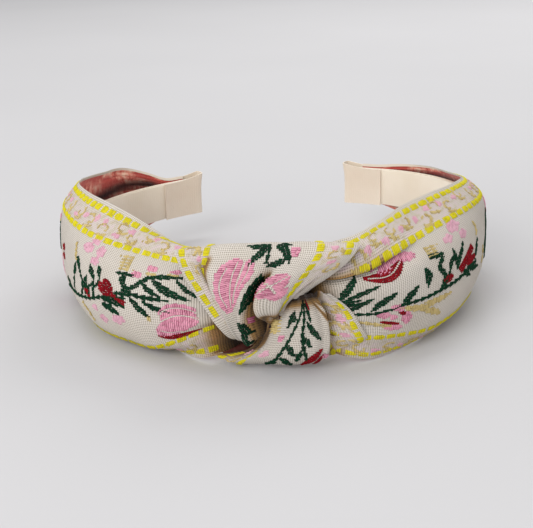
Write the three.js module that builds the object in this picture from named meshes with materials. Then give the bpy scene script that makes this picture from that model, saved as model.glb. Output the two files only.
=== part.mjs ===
// Knotted headband: a sprung plastic hoop, lined with plain ribbon on its inner face and covered on its
// outer face with a wide brocade ribbon that is tied in a half knot over the crown.
// Millimetres, +Z up. The headband lies on its edge: the hoop's plane is near level, the knot faces -Y and
// the two tips are at the +Y side. The lower border of the brocade ribbon rests on z = 0.

import * as THREE from 'three';

const { degToRad, lerp, smoothstep } = THREE.MathUtils;

// ---------------------------------------------------------------- driving dimensions

const HOOP_HALF_SPAN = 66.5;       // centreline ellipse, half its width across the ears
const HOOP_HALF_DEPTH = 62;        // centreline ellipse, half its depth from crown to back
const TIP_ANGLE = degToRad(154.5); // where each arm ends, counted from the crown
const HOOP_WIDTH = 15;             // height of the moulded band
const HOOP_THICKNESS = 1.6;
const FLEX_ANGLE = degToRad(23.5); // where each arm's bending is gathered into one flex line
const FLEX_GAP = 0.6;              // clearance between the crown and an arm at the flex line
const ARM_OPENING = degToRad(18);  // how far an arm springs open

const RIBBON_THICKNESS = 0.8;      // brocade ply
const LINING_THICKNESS = 0.5;
const LINING_WIDTH = 14.6;
const CAP_THICKNESS = 0.5;
const CAP_LENGTH = 14;             // how far a folded cap reaches back from the tip
const GLUE_THICKNESS = 0.4;
const GLUE_WIDTH = 10;
const CLEARANCE = 0.2;             // between plies that lie on each other

const REST_HEIGHT = 19.5;          // hoop centreline above the surface it rests on, at the crown
const HOOP_TILT = degToRad(2.75);  // hoop sits tilted in its soft cover, right arm high and left arm low
const FIELD_RISE_SIDE = 17.5;      // upper shoulder of the ribbon above the centreline, at the ears
const FIELD_RISE_KNOT = 11;        // the same where the ribbon is drawn into the knot
const BORDER_RISE = 6;             // upper border: how far its selvedge is above the shoulder
const BORDER_LEAN = 7;             // and how far that selvedge leans in over the hoop
const LOWER_BORDER = 8;            // width of the lower border that lies flat on the surface
const BELLY_SIDE = 4;              // how far the ribbon stands off the centreline at the ears
const BELLY_KNOT = 8;              // and next to the knot
const BELLY_CROWN = 1.2;           // extra bulge half-way up the ribbon
const TAPER_LENGTH = 45;           // along the arm: ribbon gathers from full width to its tail
const BORDER_UNFOLD = 12;          // along the arm, ahead of the taper: the borders begin to open out
const TAIL_MARGIN = 0.3;           // hoop left bare along each edge of the ribbon's tail
const WING_START_GAP = 2;          // from the flex line to the ribbon's first free edge
const TAIL_UNDER_CAP = 8;          // tail length that the cap's outer leaf covers

const KNOT_HALF_WIDTH = 22;        // half the knot's spread across the crown
const KNOT_HALF_HEIGHT = 18;
const KNOT_DEPTH = 14;             // knot's front, measured out from the hoop's centreline
const LOBE_HALF_THICKNESS = 2.2;   // a folded lobe, half its thickness
const BACK_BAND_HALF_WIDTH = 13;   // ribbon ply that passes behind the hoop at the crown
const BACK_BAND_HEIGHT = 17;

const BAND_STEP = degToRad(3);     // largest turn of one facet on the curved bands
const WING_STEPS = 30;
const LOBE_SIDES = 14;

// ---------------------------------------------------------------- derived places

const hoopInner = -HOOP_THICKNESS / 2;
const hoopOuter = HOOP_THICKNESS / 2;
const liningOuter = hoopInner - CLEARANCE;
const liningInner = liningOuter - LINING_THICKNESS;
const wrapInner = liningInner - CLEARANCE;           // first free radius inside the lining
const glueOuter = hoopOuter + CLEARANCE + GLUE_THICKNESS;
const tailInner = glueOuter + CLEARANCE;
const tailOuter = tailInner + RIBBON_THICKNESS;
const tailWidth = HOOP_WIDTH - 2 * TAIL_MARGIN;
const capOuter = tailOuter + CLEARANCE;              // first free radius outside the tail

// ---------------------------------------------------------------- materials

function finish(color, roughness) {
  return new THREE.MeshStandardMaterial({ color, roughness, metalness: 0 });
}

const plastic = finish(0xe9e1d2, 0.45);
const liningCloth = finish(0xd8cdbd, 0.6);
const brocade = finish(0xd9d0c2, 0.8);
const glue = finish(0xe6dcc0, 0.35);

// ---------------------------------------------------------------- the hoop's centreline

// A point of the plan: angle from the crown, distance out from the centreline.
function plan(angle, out) {
  const x = HOOP_HALF_SPAN * Math.sin(angle);
  const y = -HOOP_HALF_DEPTH * Math.cos(angle);
  const normal = new THREE.Vector2(Math.sin(angle) / HOOP_HALF_SPAN, -Math.cos(angle) / HOOP_HALF_DEPTH);
  normal.normalize();
  return new THREE.Vector2(x + normal.x * out, y + normal.y * out);
}

// Millimetres of centreline per radian at an angle.
function arcRate(angle) {
  return Math.hypot(HOOP_HALF_SPAN * Math.cos(angle), HOOP_HALF_DEPTH * Math.sin(angle));
}

// The angle reached by walking a distance along the centreline.
function walk(angle, distance) {
  const steps = 40;
  let reached = angle;
  for (let i = 0; i < steps; i += 1) {
    reached += distance / steps / arcRate(reached);
  }
  return reached;
}

// Angles from one end to the other, in an odd number of equal facets.
function facetAngles(from, to) {
  const half = Math.ceil(Math.abs(to - from) / BAND_STEP / 2);
  const count = 2 * half + 1;
  return Array.from({ length: count + 1 }, (_, i) => lerp(from, to, i / count));
}

// ---------------------------------------------------------------- shape makers

// A flat outline in plan, raised to a band of the given height about the hoop's mid height.
function raise(outline, height) {
  const geometry = new THREE.ExtrudeGeometry(new THREE.Shape(outline), {
    depth: height, bevelEnabled: false, curveSegments: 1,
  });
  return geometry.translate(0, 0, REST_HEIGHT - height / 2);
}

// A band that follows the hoop between two angles and two distances from the centreline.
function bandOutline(from, to, inner, outer) {
  const angles = facetAngles(from, to);
  const out = angles.map((angle) => plan(angle, outer));
  const back = angles.map((angle) => plan(angle, inner)).reverse();
  return [...out, ...back];
}

// A closed skin through rings with the same number of points, with flat lids on the first and last.
function loft(rings, lidPlane) {
  const sides = rings[0].length;
  const positions = rings.flat().flatMap((p) => [p.x, p.y, p.z]);
  const faces = [];
  for (let i = 0; i + 1 < rings.length; i += 1) {
    for (let j = 0; j < sides; j += 1) {
      const k = (j + 1) % sides;
      const a = i * sides + j;
      const b = i * sides + k;
      faces.push(a, b, b + sides, a, b + sides, a + sides);
    }
  }
  const lastStart = (rings.length - 1) * sides;
  const turned = THREE.ShapeUtils.isClockWise(lidPlane);
  const lid = THREE.ShapeUtils.triangulateShape(lidPlane, []);
  for (const triangle of lid) {
    const [p, q, r] = turned ? [...triangle].reverse() : triangle;
    faces.push(r, q, p);
    faces.push(lastStart + p, lastStart + q, lastStart + r);
  }
  const geometry = new THREE.BufferGeometry();
  geometry.setAttribute('position', new THREE.Float32BufferAttribute(positions, 3));
  geometry.setIndex(faces);
  return outwards(geometry);
}

// Turns every face round when the solid would otherwise be inside out.
function outwards(geometry) {
  const position = geometry.attributes.position;
  const index = geometry.index.array;
  const corner = [new THREE.Vector3(), new THREE.Vector3(), new THREE.Vector3()];
  let volume = 0;
  for (let i = 0; i < index.length; i += 3) {
    corner.forEach((c, k) => c.fromBufferAttribute(position, index[i + k]));
    volume += corner[0].dot(corner[1].cross(corner[2])) / 6;
  }
  if (volume < 0) {
    for (let i = 0; i < index.length; i += 3) {
      [index[i + 1], index[i + 2]] = [index[i + 2], index[i + 1]];
    }
  }
  geometry.computeVertexNormals();
  return geometry;
}

// Height that the hoop's tilt gives to a place across the crown.
function tiltRise(across) {
  return across * Math.tan(HOOP_TILT);
}

// The geometry carried up and down with the tilted hoop, its walls still upright.
function tilted(geometry) {
  const position = geometry.attributes.position;
  for (let i = 0; i < position.count; i += 1) {
    position.setZ(i, position.getZ(i) + tiltRise(position.getX(i)));
  }
  return geometry;
}

function mirrored(geometry) {
  const copy = geometry.clone().applyMatrix4(new THREE.Matrix4().makeScale(-1, 1, 1));
  if (!copy.index) {
    const position = copy.attributes.position;
    copy.setIndex(Array.from({ length: position.count }, (_, i) => i));
  }
  return outwards(copy);
}

// ---------------------------------------------------------------- hoop, lining, caps and glue

const crownEdge = walk(FLEX_ANGLE, -FLEX_GAP / 2);
const armEdge = walk(FLEX_ANGLE, FLEX_GAP / 2);
const tailEnd = walk(TIP_ANGLE, -CAP_LENGTH + TAIL_UNDER_CAP);
const taperEnd = walk(TIP_ANGLE, -CAP_LENGTH);
const taperStart = walk(taperEnd, -TAPER_LENGTH);

function hoopCrown() {
  return raise(bandOutline(-crownEdge, crownEdge, hoopInner, hoopOuter), HOOP_WIDTH);
}

function hoopArm() {
  return raise(bandOutline(armEdge, TIP_ANGLE, hoopInner, hoopOuter), HOOP_WIDTH);
}

function liningCrown() {
  return raise(bandOutline(-crownEdge, crownEdge, liningInner, liningOuter), LINING_WIDTH);
}

function liningArm() {
  return raise(bandOutline(armEdge, TIP_ANGLE, liningInner, liningOuter), LINING_WIDTH);
}

// A strip of ribbon folded round the tip: inner leaf, fold and outer leaf in one outline.
function tipCap() {
  const start = walk(TIP_ANGLE, -CAP_LENGTH);
  const tip = walk(TIP_ANGLE, CLEARANCE);
  const end = walk(tip, CAP_THICKNESS);
  const outerFace = facetAngles(start, end).map((angle) => plan(angle, capOuter + CAP_THICKNESS));
  const innerFace = facetAngles(end, start).map((angle) => plan(angle, wrapInner - CAP_THICKNESS));
  const innerPocket = facetAngles(start, tip).map((angle) => plan(angle, wrapInner));
  const outerPocket = facetAngles(tip, start).map((angle) => plan(angle, capOuter));
  return raise([...outerFace, ...innerFace, ...innerPocket, ...outerPocket], HOOP_WIDTH);
}

// Adhesive under the ribbon's tail.
function tailGlue() {
  const start = walk(tailEnd, -TAPER_LENGTH / 2);
  return raise(bandOutline(start, tailEnd, hoopOuter + CLEARANCE, glueOuter), GLUE_WIDTH);
}

// Adhesive between the hoop and the knot.
function knotGlue() {
  const reach = walk(0, KNOT_HALF_WIDTH / 2);
  return raise(bandOutline(-reach, reach, hoopOuter + CLEARANCE, glueOuter), GLUE_WIDTH);
}

// ---------------------------------------------------------------- ribbon wings

// How the free ribbon stands at an angle: points from its upper selvedge, over the belly and down to
// the lower selvedge, each as distance out and height above the hoop's mid height.
function wingProfile(angle) {
  const towardSide = smoothstep(angle, FLEX_ANGLE, degToRad(80));
  const belly = lerp(BELLY_KNOT, BELLY_SIDE, towardSide);
  const shoulder = lerp(FIELD_RISE_KNOT, FIELD_RISE_SIDE, towardSide);
  const free = [
    [belly - BORDER_LEAN, shoulder + BORDER_RISE],
    [belly - BORDER_LEAN / 2, shoulder + BORDER_RISE * 0.7],
    [belly, shoulder],
    [belly + BELLY_CROWN, shoulder / 2],
    [belly + BELLY_CROWN * 1.3, -2],
    [belly + BELLY_CROWN, -REST_HEIGHT * 0.6],
    [belly, -REST_HEIGHT * 0.87],
    [belly - 1.5, -REST_HEIGHT],
    [belly - 1.5 - LOWER_BORDER, -REST_HEIGHT],
  ];
  const unfolded = smoothstep(angle, walk(taperStart, -BORDER_UNFOLD), lerp(taperStart, taperEnd, 0.5));
  const gathered = smoothstep(angle, taperStart, taperEnd);
  return free.map(([out, rise], i) => new THREE.Vector2(
    lerp(out, tailOuter, unfolded),
    lerp(rise, tailWidth * (0.5 - i / (free.length - 1)), gathered),
  ));
}

// The same points moved in by the ply's thickness, across the profile's own direction.
function innerProfile(profile) {
  return profile.map((point, i) => {
    const before = profile[Math.max(i - 1, 0)];
    const after = profile[Math.min(i + 1, profile.length - 1)];
    const along = after.clone().sub(before).normalize();
    const across = new THREE.Vector2(along.y, -along.x);
    const moved = point.clone().addScaledVector(across, RIBBON_THICKNESS);
    if (point.y <= -REST_HEIGHT + 0.01) {
      moved.set(point.x, point.y + RIBBON_THICKNESS);
    }
    return moved;
  });
}

// The first free edge leans back by the arm's opening, so that the arm can swing past the knot.
// Side is 1 for the right wing and -1 for the left.
function wingRing(side, angle, lean) {
  const outer = wingProfile(angle);
  const section = [...outer, ...innerProfile(outer).reverse()];
  const tail = smoothstep(angle, taperStart, taperEnd);
  return section.map((point) => {
    const shift = Math.max(point.x, 0) * lean;
    const place = plan(walk(angle, shift), point.x);
    const height = REST_HEIGHT + point.y + tail * tiltRise(side * place.x);
    return new THREE.Vector3(side * place.x, place.y, height);
  });
}

function wing(side) {
  const start = walk(FLEX_ANGLE, WING_START_GAP);
  const rings = [];
  for (let i = 0; i <= WING_STEPS; i += 1) {
    const t = i / WING_STEPS;
    const lean = Math.tan(ARM_OPENING) * (1 - t) ** 4;
    rings.push(wingRing(side, lerp(start, tailEnd, t), lean));
  }
  const outer = wingProfile(start);
  return loft(rings, [...outer, ...innerProfile(outer).reverse()]);
}

// ---------------------------------------------------------------- knot

// A place on the knot: across the crown, out from the hoop, above mid height.
function knotPoint(across, out, rise) {
  return new THREE.Vector3(across, -HOOP_HALF_DEPTH - out, REST_HEIGHT + rise);
}

// A folded lobe of ribbon: an oval section carried along a smooth line, level across the crown.
// Each station is [across, out, rise, half width, half thickness].
function lobe(stations) {
  const middle = stations.map(([across, out, rise]) => knotPoint(across, out, rise));
  const line = new THREE.CatmullRomCurve3(middle);
  const steps = (stations.length - 1) * 3;
  const rings = [];
  for (let i = 0; i <= steps; i += 1) {
    const t = i / steps;
    const centre = line.getPoint(t);
    const along = line.getTangent(t);
    const level = new THREE.Vector3(1, 0, 0).addScaledVector(along, -along.x).normalize();
    const proud = new THREE.Vector3().crossVectors(along, level).normalize();
    const place = t * (stations.length - 1);
    const k = Math.min(Math.floor(place), stations.length - 2);
    const halfWidth = lerp(stations[k][3], stations[k + 1][3], place - k);
    const halfThickness = lerp(stations[k][4], stations[k + 1][4], place - k);
    const ring = [];
    for (let j = 0; j < LOBE_SIDES; j += 1) {
      const turn = (2 * Math.PI * j) / LOBE_SIDES;
      ring.push(centre.clone()
        .addScaledVector(level, halfWidth * Math.cos(turn))
        .addScaledVector(proud, halfThickness * Math.sin(turn)));
    }
    rings.push(ring);
  }
  const lid = Array.from({ length: LOBE_SIDES }, (_, j) => {
    const turn = (2 * Math.PI * j) / LOBE_SIDES;
    return new THREE.Vector2(Math.cos(turn), Math.sin(turn));
  });
  return loft(rings, lid);
}

const W = KNOT_HALF_WIDTH;
const H = KNOT_HALF_HEIGHT;
const D = KNOT_DEPTH;
const T = LOBE_HALF_THICKNESS;
const aboveHoop = HOOP_WIDTH / 2 + T + 1.2;

// The turn that comes over the crown and runs down to the wearer's lower right.
function upperLobe() {
  return lobe([
    [-W * 0.45, -3.5, aboveHoop, W * 0.4, T * 0.6],
    [-W * 0.5, 2.5, H - T, W * 0.45, T * 0.9],
    [-W * 0.5, D * 0.65, H * 0.6, W * 0.47, T],
    [-W * 0.45, D - T, 0, W * 0.42, T],
    [-W * 0.32, D - T, -H * 0.45, W * 0.3, T * 0.9],
    [-W * 0.2, D - T * 1.2, -H * 0.76, W * 0.18, T * 0.5],
  ]);
}

// The second pleat of the same turn, lapped in a blunt tongue over the knot's middle.
function upperTongue() {
  return lobe([
    [W * 0.52, -3.5, aboveHoop, W * 0.36, T * 0.6],
    [W * 0.54, 2.5, H - T, W * 0.42, T * 0.9],
    [W * 0.54, D * 0.65, H * 0.6, W * 0.42, T],
    [W * 0.42, D - T, 1, W * 0.3, T],
    [W * 0.34, D - T, -H * 0.25, W * 0.16, T * 0.6],
  ]);
}

// The turn that comes out from under the tongue and spreads down round the crown's lower edge.
function lowerLobe() {
  const near = D - T * 3.7;
  return lobe([
    [W * 0.5, near, H * 0.05, W * 0.25, T * 0.7],
    [W * 0.35, near, -H * 0.4, W * 0.5, T * 0.8],
    [W * 0.2, near - 1, -H * 0.74, W * 0.7, T * 0.7],
    [W * 0.1, 0, -H * 0.84, W * 0.66, T * 0.6],
    [0, -4, -aboveHoop, W * 0.5, T * 0.5],
  ]);
}

// Where the two turns cross against the hoop.
function knotCore() {
  const reach = walk(0, W * 0.55);
  return raise(bandOutline(-reach, reach, tailInner, tailInner + 2 * RIBBON_THICKNESS), HOOP_WIDTH * 0.9);
}

// The ply behind the hoop that joins the upper turn to the lower one.
function backBand() {
  const reach = walk(0, BACK_BAND_HALF_WIDTH);
  return raise(bandOutline(-reach, reach, wrapInner - RIBBON_THICKNESS, wrapInner), BACK_BAND_HEIGHT);
}

// ---------------------------------------------------------------- assembly

const part = new THREE.Group();

function add(name, geometry, material) {
  const mesh = new THREE.Mesh(geometry, material);
  mesh.name = name;
  part.add(mesh);
}

function addPair(leftName, rightName, geometry, material) {
  add(leftName, tilted(mirrored(geometry)), material);
  add(rightName, tilted(geometry), material);
}

add('hoop_crown', tilted(hoopCrown()), plastic);
addPair('hoop_left_arm', 'hoop_right_arm', hoopArm(), plastic);
add('lining_crown', tilted(liningCrown()), liningCloth);
addPair('lining_left_arm', 'lining_right_arm', liningArm(), liningCloth);
addPair('tip_cap_left', 'tip_cap_right', tipCap(), liningCloth);
addPair('glue_left_tail', 'glue_right_tail', tailGlue(), glue);
add('glue_knot_pad', tilted(knotGlue()), glue);
add('cover_left_wing', wing(-1), brocade);
add('cover_right_wing', wing(1), brocade);
add('knot_core', knotCore(), brocade);
add('knot_back_band', backBand(), brocade);
add('knot_upper_lobe', upperLobe(), brocade);
add('knot_upper_tongue', upperTongue(), brocade);
add('knot_lower_lobe', lowerLobe(), brocade);

// The origin is the middle of the headband's footprint, on the surface it rests on.
const footprint = new THREE.Box3().setFromObject(part);
const centre = footprint.getCenter(new THREE.Vector3());
part.position.set(-centre.x, -centre.y, -footprint.min.z);
part.updateMatrixWorld(true);

export default part;
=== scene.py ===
"""Knotted headband: a brocade ribbon over a flexible hoop, tied in a flat knot on top.

Lengths below are millimetres; place() turns them to metres as each mesh is made.
A ribbon is a surface read at (along, across): along it from the middle of the crown, across it
from its upper selvedge. Its figures are raised weft floats laid on that same surface.
"""
import math

import bpy
import numpy as np
from mathutils import Matrix, Vector


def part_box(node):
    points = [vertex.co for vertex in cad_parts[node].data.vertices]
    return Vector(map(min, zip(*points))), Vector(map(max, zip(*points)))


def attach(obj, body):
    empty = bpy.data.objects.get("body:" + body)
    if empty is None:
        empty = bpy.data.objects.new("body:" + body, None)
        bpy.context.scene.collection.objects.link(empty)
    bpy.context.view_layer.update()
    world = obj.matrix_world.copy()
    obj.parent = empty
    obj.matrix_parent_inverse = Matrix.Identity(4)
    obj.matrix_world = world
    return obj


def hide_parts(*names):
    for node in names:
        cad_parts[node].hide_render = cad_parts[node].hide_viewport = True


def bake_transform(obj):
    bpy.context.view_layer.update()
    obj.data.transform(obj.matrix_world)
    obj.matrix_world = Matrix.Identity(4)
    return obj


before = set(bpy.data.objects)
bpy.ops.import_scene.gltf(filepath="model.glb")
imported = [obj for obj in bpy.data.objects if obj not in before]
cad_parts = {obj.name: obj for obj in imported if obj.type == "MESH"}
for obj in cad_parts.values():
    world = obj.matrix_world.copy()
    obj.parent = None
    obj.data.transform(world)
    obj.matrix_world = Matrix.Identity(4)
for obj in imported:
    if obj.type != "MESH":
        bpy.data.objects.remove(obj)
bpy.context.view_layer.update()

MM = 0.001

# The hoop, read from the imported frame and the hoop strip's own thickness.
HOOP_HALF = 0.8
CROWN_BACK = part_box("hoop_crown")[0].y / MM
ARM_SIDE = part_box("hoop_right_arm")[1].x / MM
HALF_SPAN = ARM_SIDE - HOOP_HALF
HALF_DEPTH = 62.0
CENTRE_Y = CROWN_BACK + HALF_DEPTH + HOOP_HALF
MID_HEIGHT = 19.5
TILT = math.tan(math.radians(2.75))

# Places round the hoop, in degrees from the crown, and half widths across it.
TIP_ANGLE = 154.5
CAP_ANGLE = 141.5
GATHER_ANGLE = 112
FIGURES_END = 118
HOOP_STEP = 1.5
HOOP_SOFTNESS = 0.35
NARROWING = 0.12
NARROW_FROM = 110
NARROW_OVER = 35
HOOP_EDGE = 7.5
LINING_EDGE = 7.3
LINING_FACES = (-1.45, -1.0)
CAP_EDGE = 6.8
CAP_FACES = (-1.95, 2.85)
CAP_CLOTH = 0.4
CAP_COLUMNS = 13
CAP_ROUND = 1.1
CAP_FLARE = 1.5
CAP_PINCH = 0.4
CAP_SPREAD = 0.7

# The ribbon. Across it, each border has two rows of dashes.
WIDTH = 60.4
OUTER_DASHES = 2.6
INNER_DASHES = 12.2
DASH_PITCH = 3.6
DASH_LENGTH = 2.85
DASH_WIDTH = 2.3
SELVEDGE = 2.2
CLOTH = 0.35
GRID = 1.0

# The floats that make the figures: their spacing, height, length and how uneven their ends are.
THREAD = 0.56
FLOAT_RISE = 0.3
FLOAT_LENGTH = 2.6
FLOAT_GAP = 0.08
SHORTEST_FLOAT = 0.4
RAGGED = 0.5
TRIM = 0.1

# The figures between a border's dashes.
SCROLL_RADIUS = 2.0
SCROLL_WIDTH = 0.8
BORDER_STEP = 8.5
DASHES_PAST = 10

# The share of each flat length of ribbon that is not tucked or gathered away.
UPPER_SHARE = 0.75
LOWER_SHARE = 0.62

# The ribbon where it is folded narrow behind the hoop, and its hidden pass through the knot.
BAND_HALF = 13.4
BAND_LENGTH = 22
BAND_BEHIND = 3.6
PASS_SHARE = 0.94
PASS_EDGE = 0.9
PASS_INSET = 1.2
PASS_TAPER = 0.7

# --------------------------------------------------------------------------- surfaces


def slopes(at, values):
    """The slope at each station of a smooth curve through all of them."""
    steps = np.diff(at)
    rises = np.diff(values, axis=0) / steps.reshape(-1, *[1] * (values.ndim - 1))
    before = steps[:-1].reshape(-1, *[1] * (values.ndim - 1))
    after = steps[1:].reshape(-1, *[1] * (values.ndim - 1))
    found = np.empty_like(values)
    found[0] = rises[0]
    found[-1] = rises[-1]
    found[1:-1] = (rises[:-1] * after + rises[1:] * before) / (before + after)
    return found


def through(at, values, x):
    """A smooth curve through values at the stations, read at each x."""
    at = np.asarray(at, float)
    values = np.asarray(values, float)
    lean = slopes(at, values)
    i = np.clip(np.searchsorted(at, x, side="right") - 1, 0, len(at) - 2)
    shape = (-1,) + (1,) * (values.ndim - 1)
    step = (at[i + 1] - at[i]).reshape(shape)
    t = ((x - at[i]) / (at[i + 1] - at[i])).reshape(shape)
    start = (2 * t**3 - 3 * t**2 + 1) * values[i] + (t**3 - 2 * t**2 + t) * step * lean[i]
    end = (3 * t**2 - 2 * t**3) * values[i + 1] + (t**3 - t**2) * step * lean[i + 1]
    return start + end


def hoop_point(angle, out):
    """Plan place at an angle round the hoop from the crown, out from its middle line."""
    across = np.sin(angle) / HALF_SPAN
    along = -np.cos(angle) / HALF_DEPTH
    size = np.hypot(across, along)
    x = HALF_SPAN * np.sin(angle) + out * across / size
    y = CENTRE_Y - HALF_DEPTH * np.cos(angle) + out * along / size
    return x, y


def hoop_run(angle):
    """Which way the hoop runs at an angle round it, towards its tip."""
    run = np.array([HALF_SPAN * math.cos(angle), HALF_DEPTH * math.sin(angle)])
    return run / np.hypot(*run)


def hoop_height(angle, side):
    """The height of the hoop's middle line, which lies tilted to the floor."""
    return MID_HEIGHT + side * HALF_SPAN * math.sin(angle) * TILT


ANGLES = np.linspace(0, math.pi, 1201)
TURNS = (ANGLES[1:] + ANGLES[:-1]) / 2
ARCS = np.hypot(HALF_SPAN * np.cos(TURNS), HALF_DEPTH * np.sin(TURNS)) * np.diff(ANGLES)
LENGTHS = np.concatenate([[0], np.cumsum(ARCS)])


def length_at(degrees):
    """Length along the hoop's middle line from the crown to an angle."""
    return float(np.interp(math.radians(degrees), ANGLES, LENGTHS))


class Surface:
    """A cloth face on a fine grid, read anywhere at (along, across)."""

    # Lines along which shade is painted: the creases darken the face's ground and floss, the next list
    # darkens its reverse.
    creases = ()
    reverse_shade_lines = ()

    def __init__(self, along, across, points):
        self.along = along
        self.across = across
        self.points = points
        run = np.gradient(points, axis=0)
        cross = np.gradient(points, axis=1)
        normals = np.cross(run, cross)
        size = np.linalg.norm(normals, axis=2, keepdims=True)
        self.normals = normals / np.maximum(size, 1e-9)

    def turned(self):
        """The same face with its normals the other way."""
        self.normals = -self.normals
        return self

    def rise(self, lift):
        """Moves every point out along its normal."""
        self.points = self.points + self.normals * lift[..., None]
        fresh = Surface(self.along, self.across, self.points).normals
        self.normals = fresh * np.sign(np.sum(self.normals * fresh))
        return self

    def read(self, u, v, lift=0.0):
        """Points at (along, across), lifted off the face."""
        last_u = len(self.along) - 1.001
        last_v = len(self.across) - 1.001
        i = np.clip((u - self.along[0]) / (self.along[1] - self.along[0]), 0, last_u)
        j = np.clip((v - self.across[0]) / (self.across[1] - self.across[0]), 0, last_v)
        a = i.astype(int)
        b = j.astype(int)
        s = (i - a)[:, None]
        t = (j - b)[:, None]

        def blend(grid):
            low = grid[a, b] * (1 - t) + grid[a, b + 1] * t
            high = grid[a + 1, b] * (1 - t) + grid[a + 1, b + 1] * t
            return low * (1 - s) + high * s

        return blend(self.points) + blend(self.normals) * np.reshape(lift, (-1, 1))


def fine(first, last, step):
    """Evenly spaced values from first to last, about a step apart."""
    return np.linspace(first, last, int(round((last - first) / step)) + 1)


def net(stations, columns, values, along, across):
    """A smooth face through a net of chosen points."""
    rows = through(stations, values, along)
    return np.swapaxes(through(columns, np.swapaxes(rows, 0, 1), across), 0, 1)


# Each wing's cross-sections: at an angle round the hoop, the cloth's (out, height) at each column.
LEFT_COLUMNS = [0, 5, 12.2, 21.2, 30.2, 39.2, 48.2, 60.4]
LEFT_WING = {
    2: [(-2, 26.5), (0.4, 27), (2, 25), (2, 22), (2, 19), (2, 16), (1.8, 13), (1.4, 10)],
    8: [(-4, 29), (1.5, 30.4), (4.8, 27.4), (6.4, 24), (7, 20), (6.6, 16.5), (4.4, 13), (0.6, 4.6)],
    14: [(-5, 28.4), (1.8, 31.6), (6.8, 29.2), (9, 25), (10.2, 20.5), (10.6, 16), (9.6, 12), (4.6, 2)],
    20: [(-6.2, 29), (0.6, 32.7), (6.8, 30.6), (10.2, 26.3), (11.6, 20.5), (11.4, 14.3), (9.4, 8.2),
         (2.6, 0.5)],
    28: [(-6.6, 31.4), (-1.2, 33.2), (3.8, 30.4), (8.4, 25.8), (11, 19.5), (10.4, 11.6), (6.2, 3.4),
         (-4, 0.4)],
    38: [(-5.8, 36.6), (-1.9, 34.5), (2.4, 30.9), (7.6, 26), (10, 19.5), (9, 11), (4.2, 2.4), (-6.3, 0.4)],
    48: [(-5.6, 39.2), (-1.4, 36.2), (3.4, 32.2), (7.4, 26.5), (8.8, 19.5), (7.8, 10.8), (2.6, 2), (-8, 0.4)],
    60: [(-5.4, 40), (-1.5, 37.2), (2.6, 33), (5, 26.6), (5.7, 19.5), (4.6, 10.6), (-0.8, 2), (-10, 0.4)],
    75: [(-4.6, 39.8), (-1.6, 37.3), (1.6, 33.3), (3, 27), (3.4, 19.5), (2.4, 10.6), (-3.4, 2.4), (-12, 0.5)],
    90: [(-3.2, 38), (-1, 35.8), (1.4, 32.5), (2.5, 26.5), (2.8, 19.5), (2.1, 11), (-3.6, 3), (-12, 1)],
    105: [(-0.4, 35.4), (1, 33.4), (2.4, 30.4), (3.4, 25), (3.6, 19), (2.8, 11.8), (-0.8, 5), (-8, 2.7)],
    118: [(2, 33.6), (2.7, 31.8), (3.4, 29), (3.9, 24), (3.9, 18.6), (3.3, 12.8), (1.6, 7.5), (-2.4, 4.7)],
    130: [(3.8, 32), (4, 30.2), (4, 27.6), (3.8, 23.3), (3.4, 18.4), (3, 13.6), (2.2, 9.4), (0.8, 7.2)],
    138: [(3.4, 28.4), (3.3, 27), (3, 25), (2.7, 21.8), (2.4, 18.4), (2.2, 15), (2, 12), (1.6, 9.6)],
    144: [(2, 25.2), (2, 24.2), (1.9, 22.8), (1.9, 20.4), (1.8, 18), (1.8, 15.6), (1.8, 13.2), (1.8, 11)],
    150: [(1.8, 25), (1.8, 24), (1.8, 22.6), (1.8, 20.3), (1.8, 17.9), (1.8, 15.5), (1.8, 13.2), (1.8, 10.8)],
}
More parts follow.
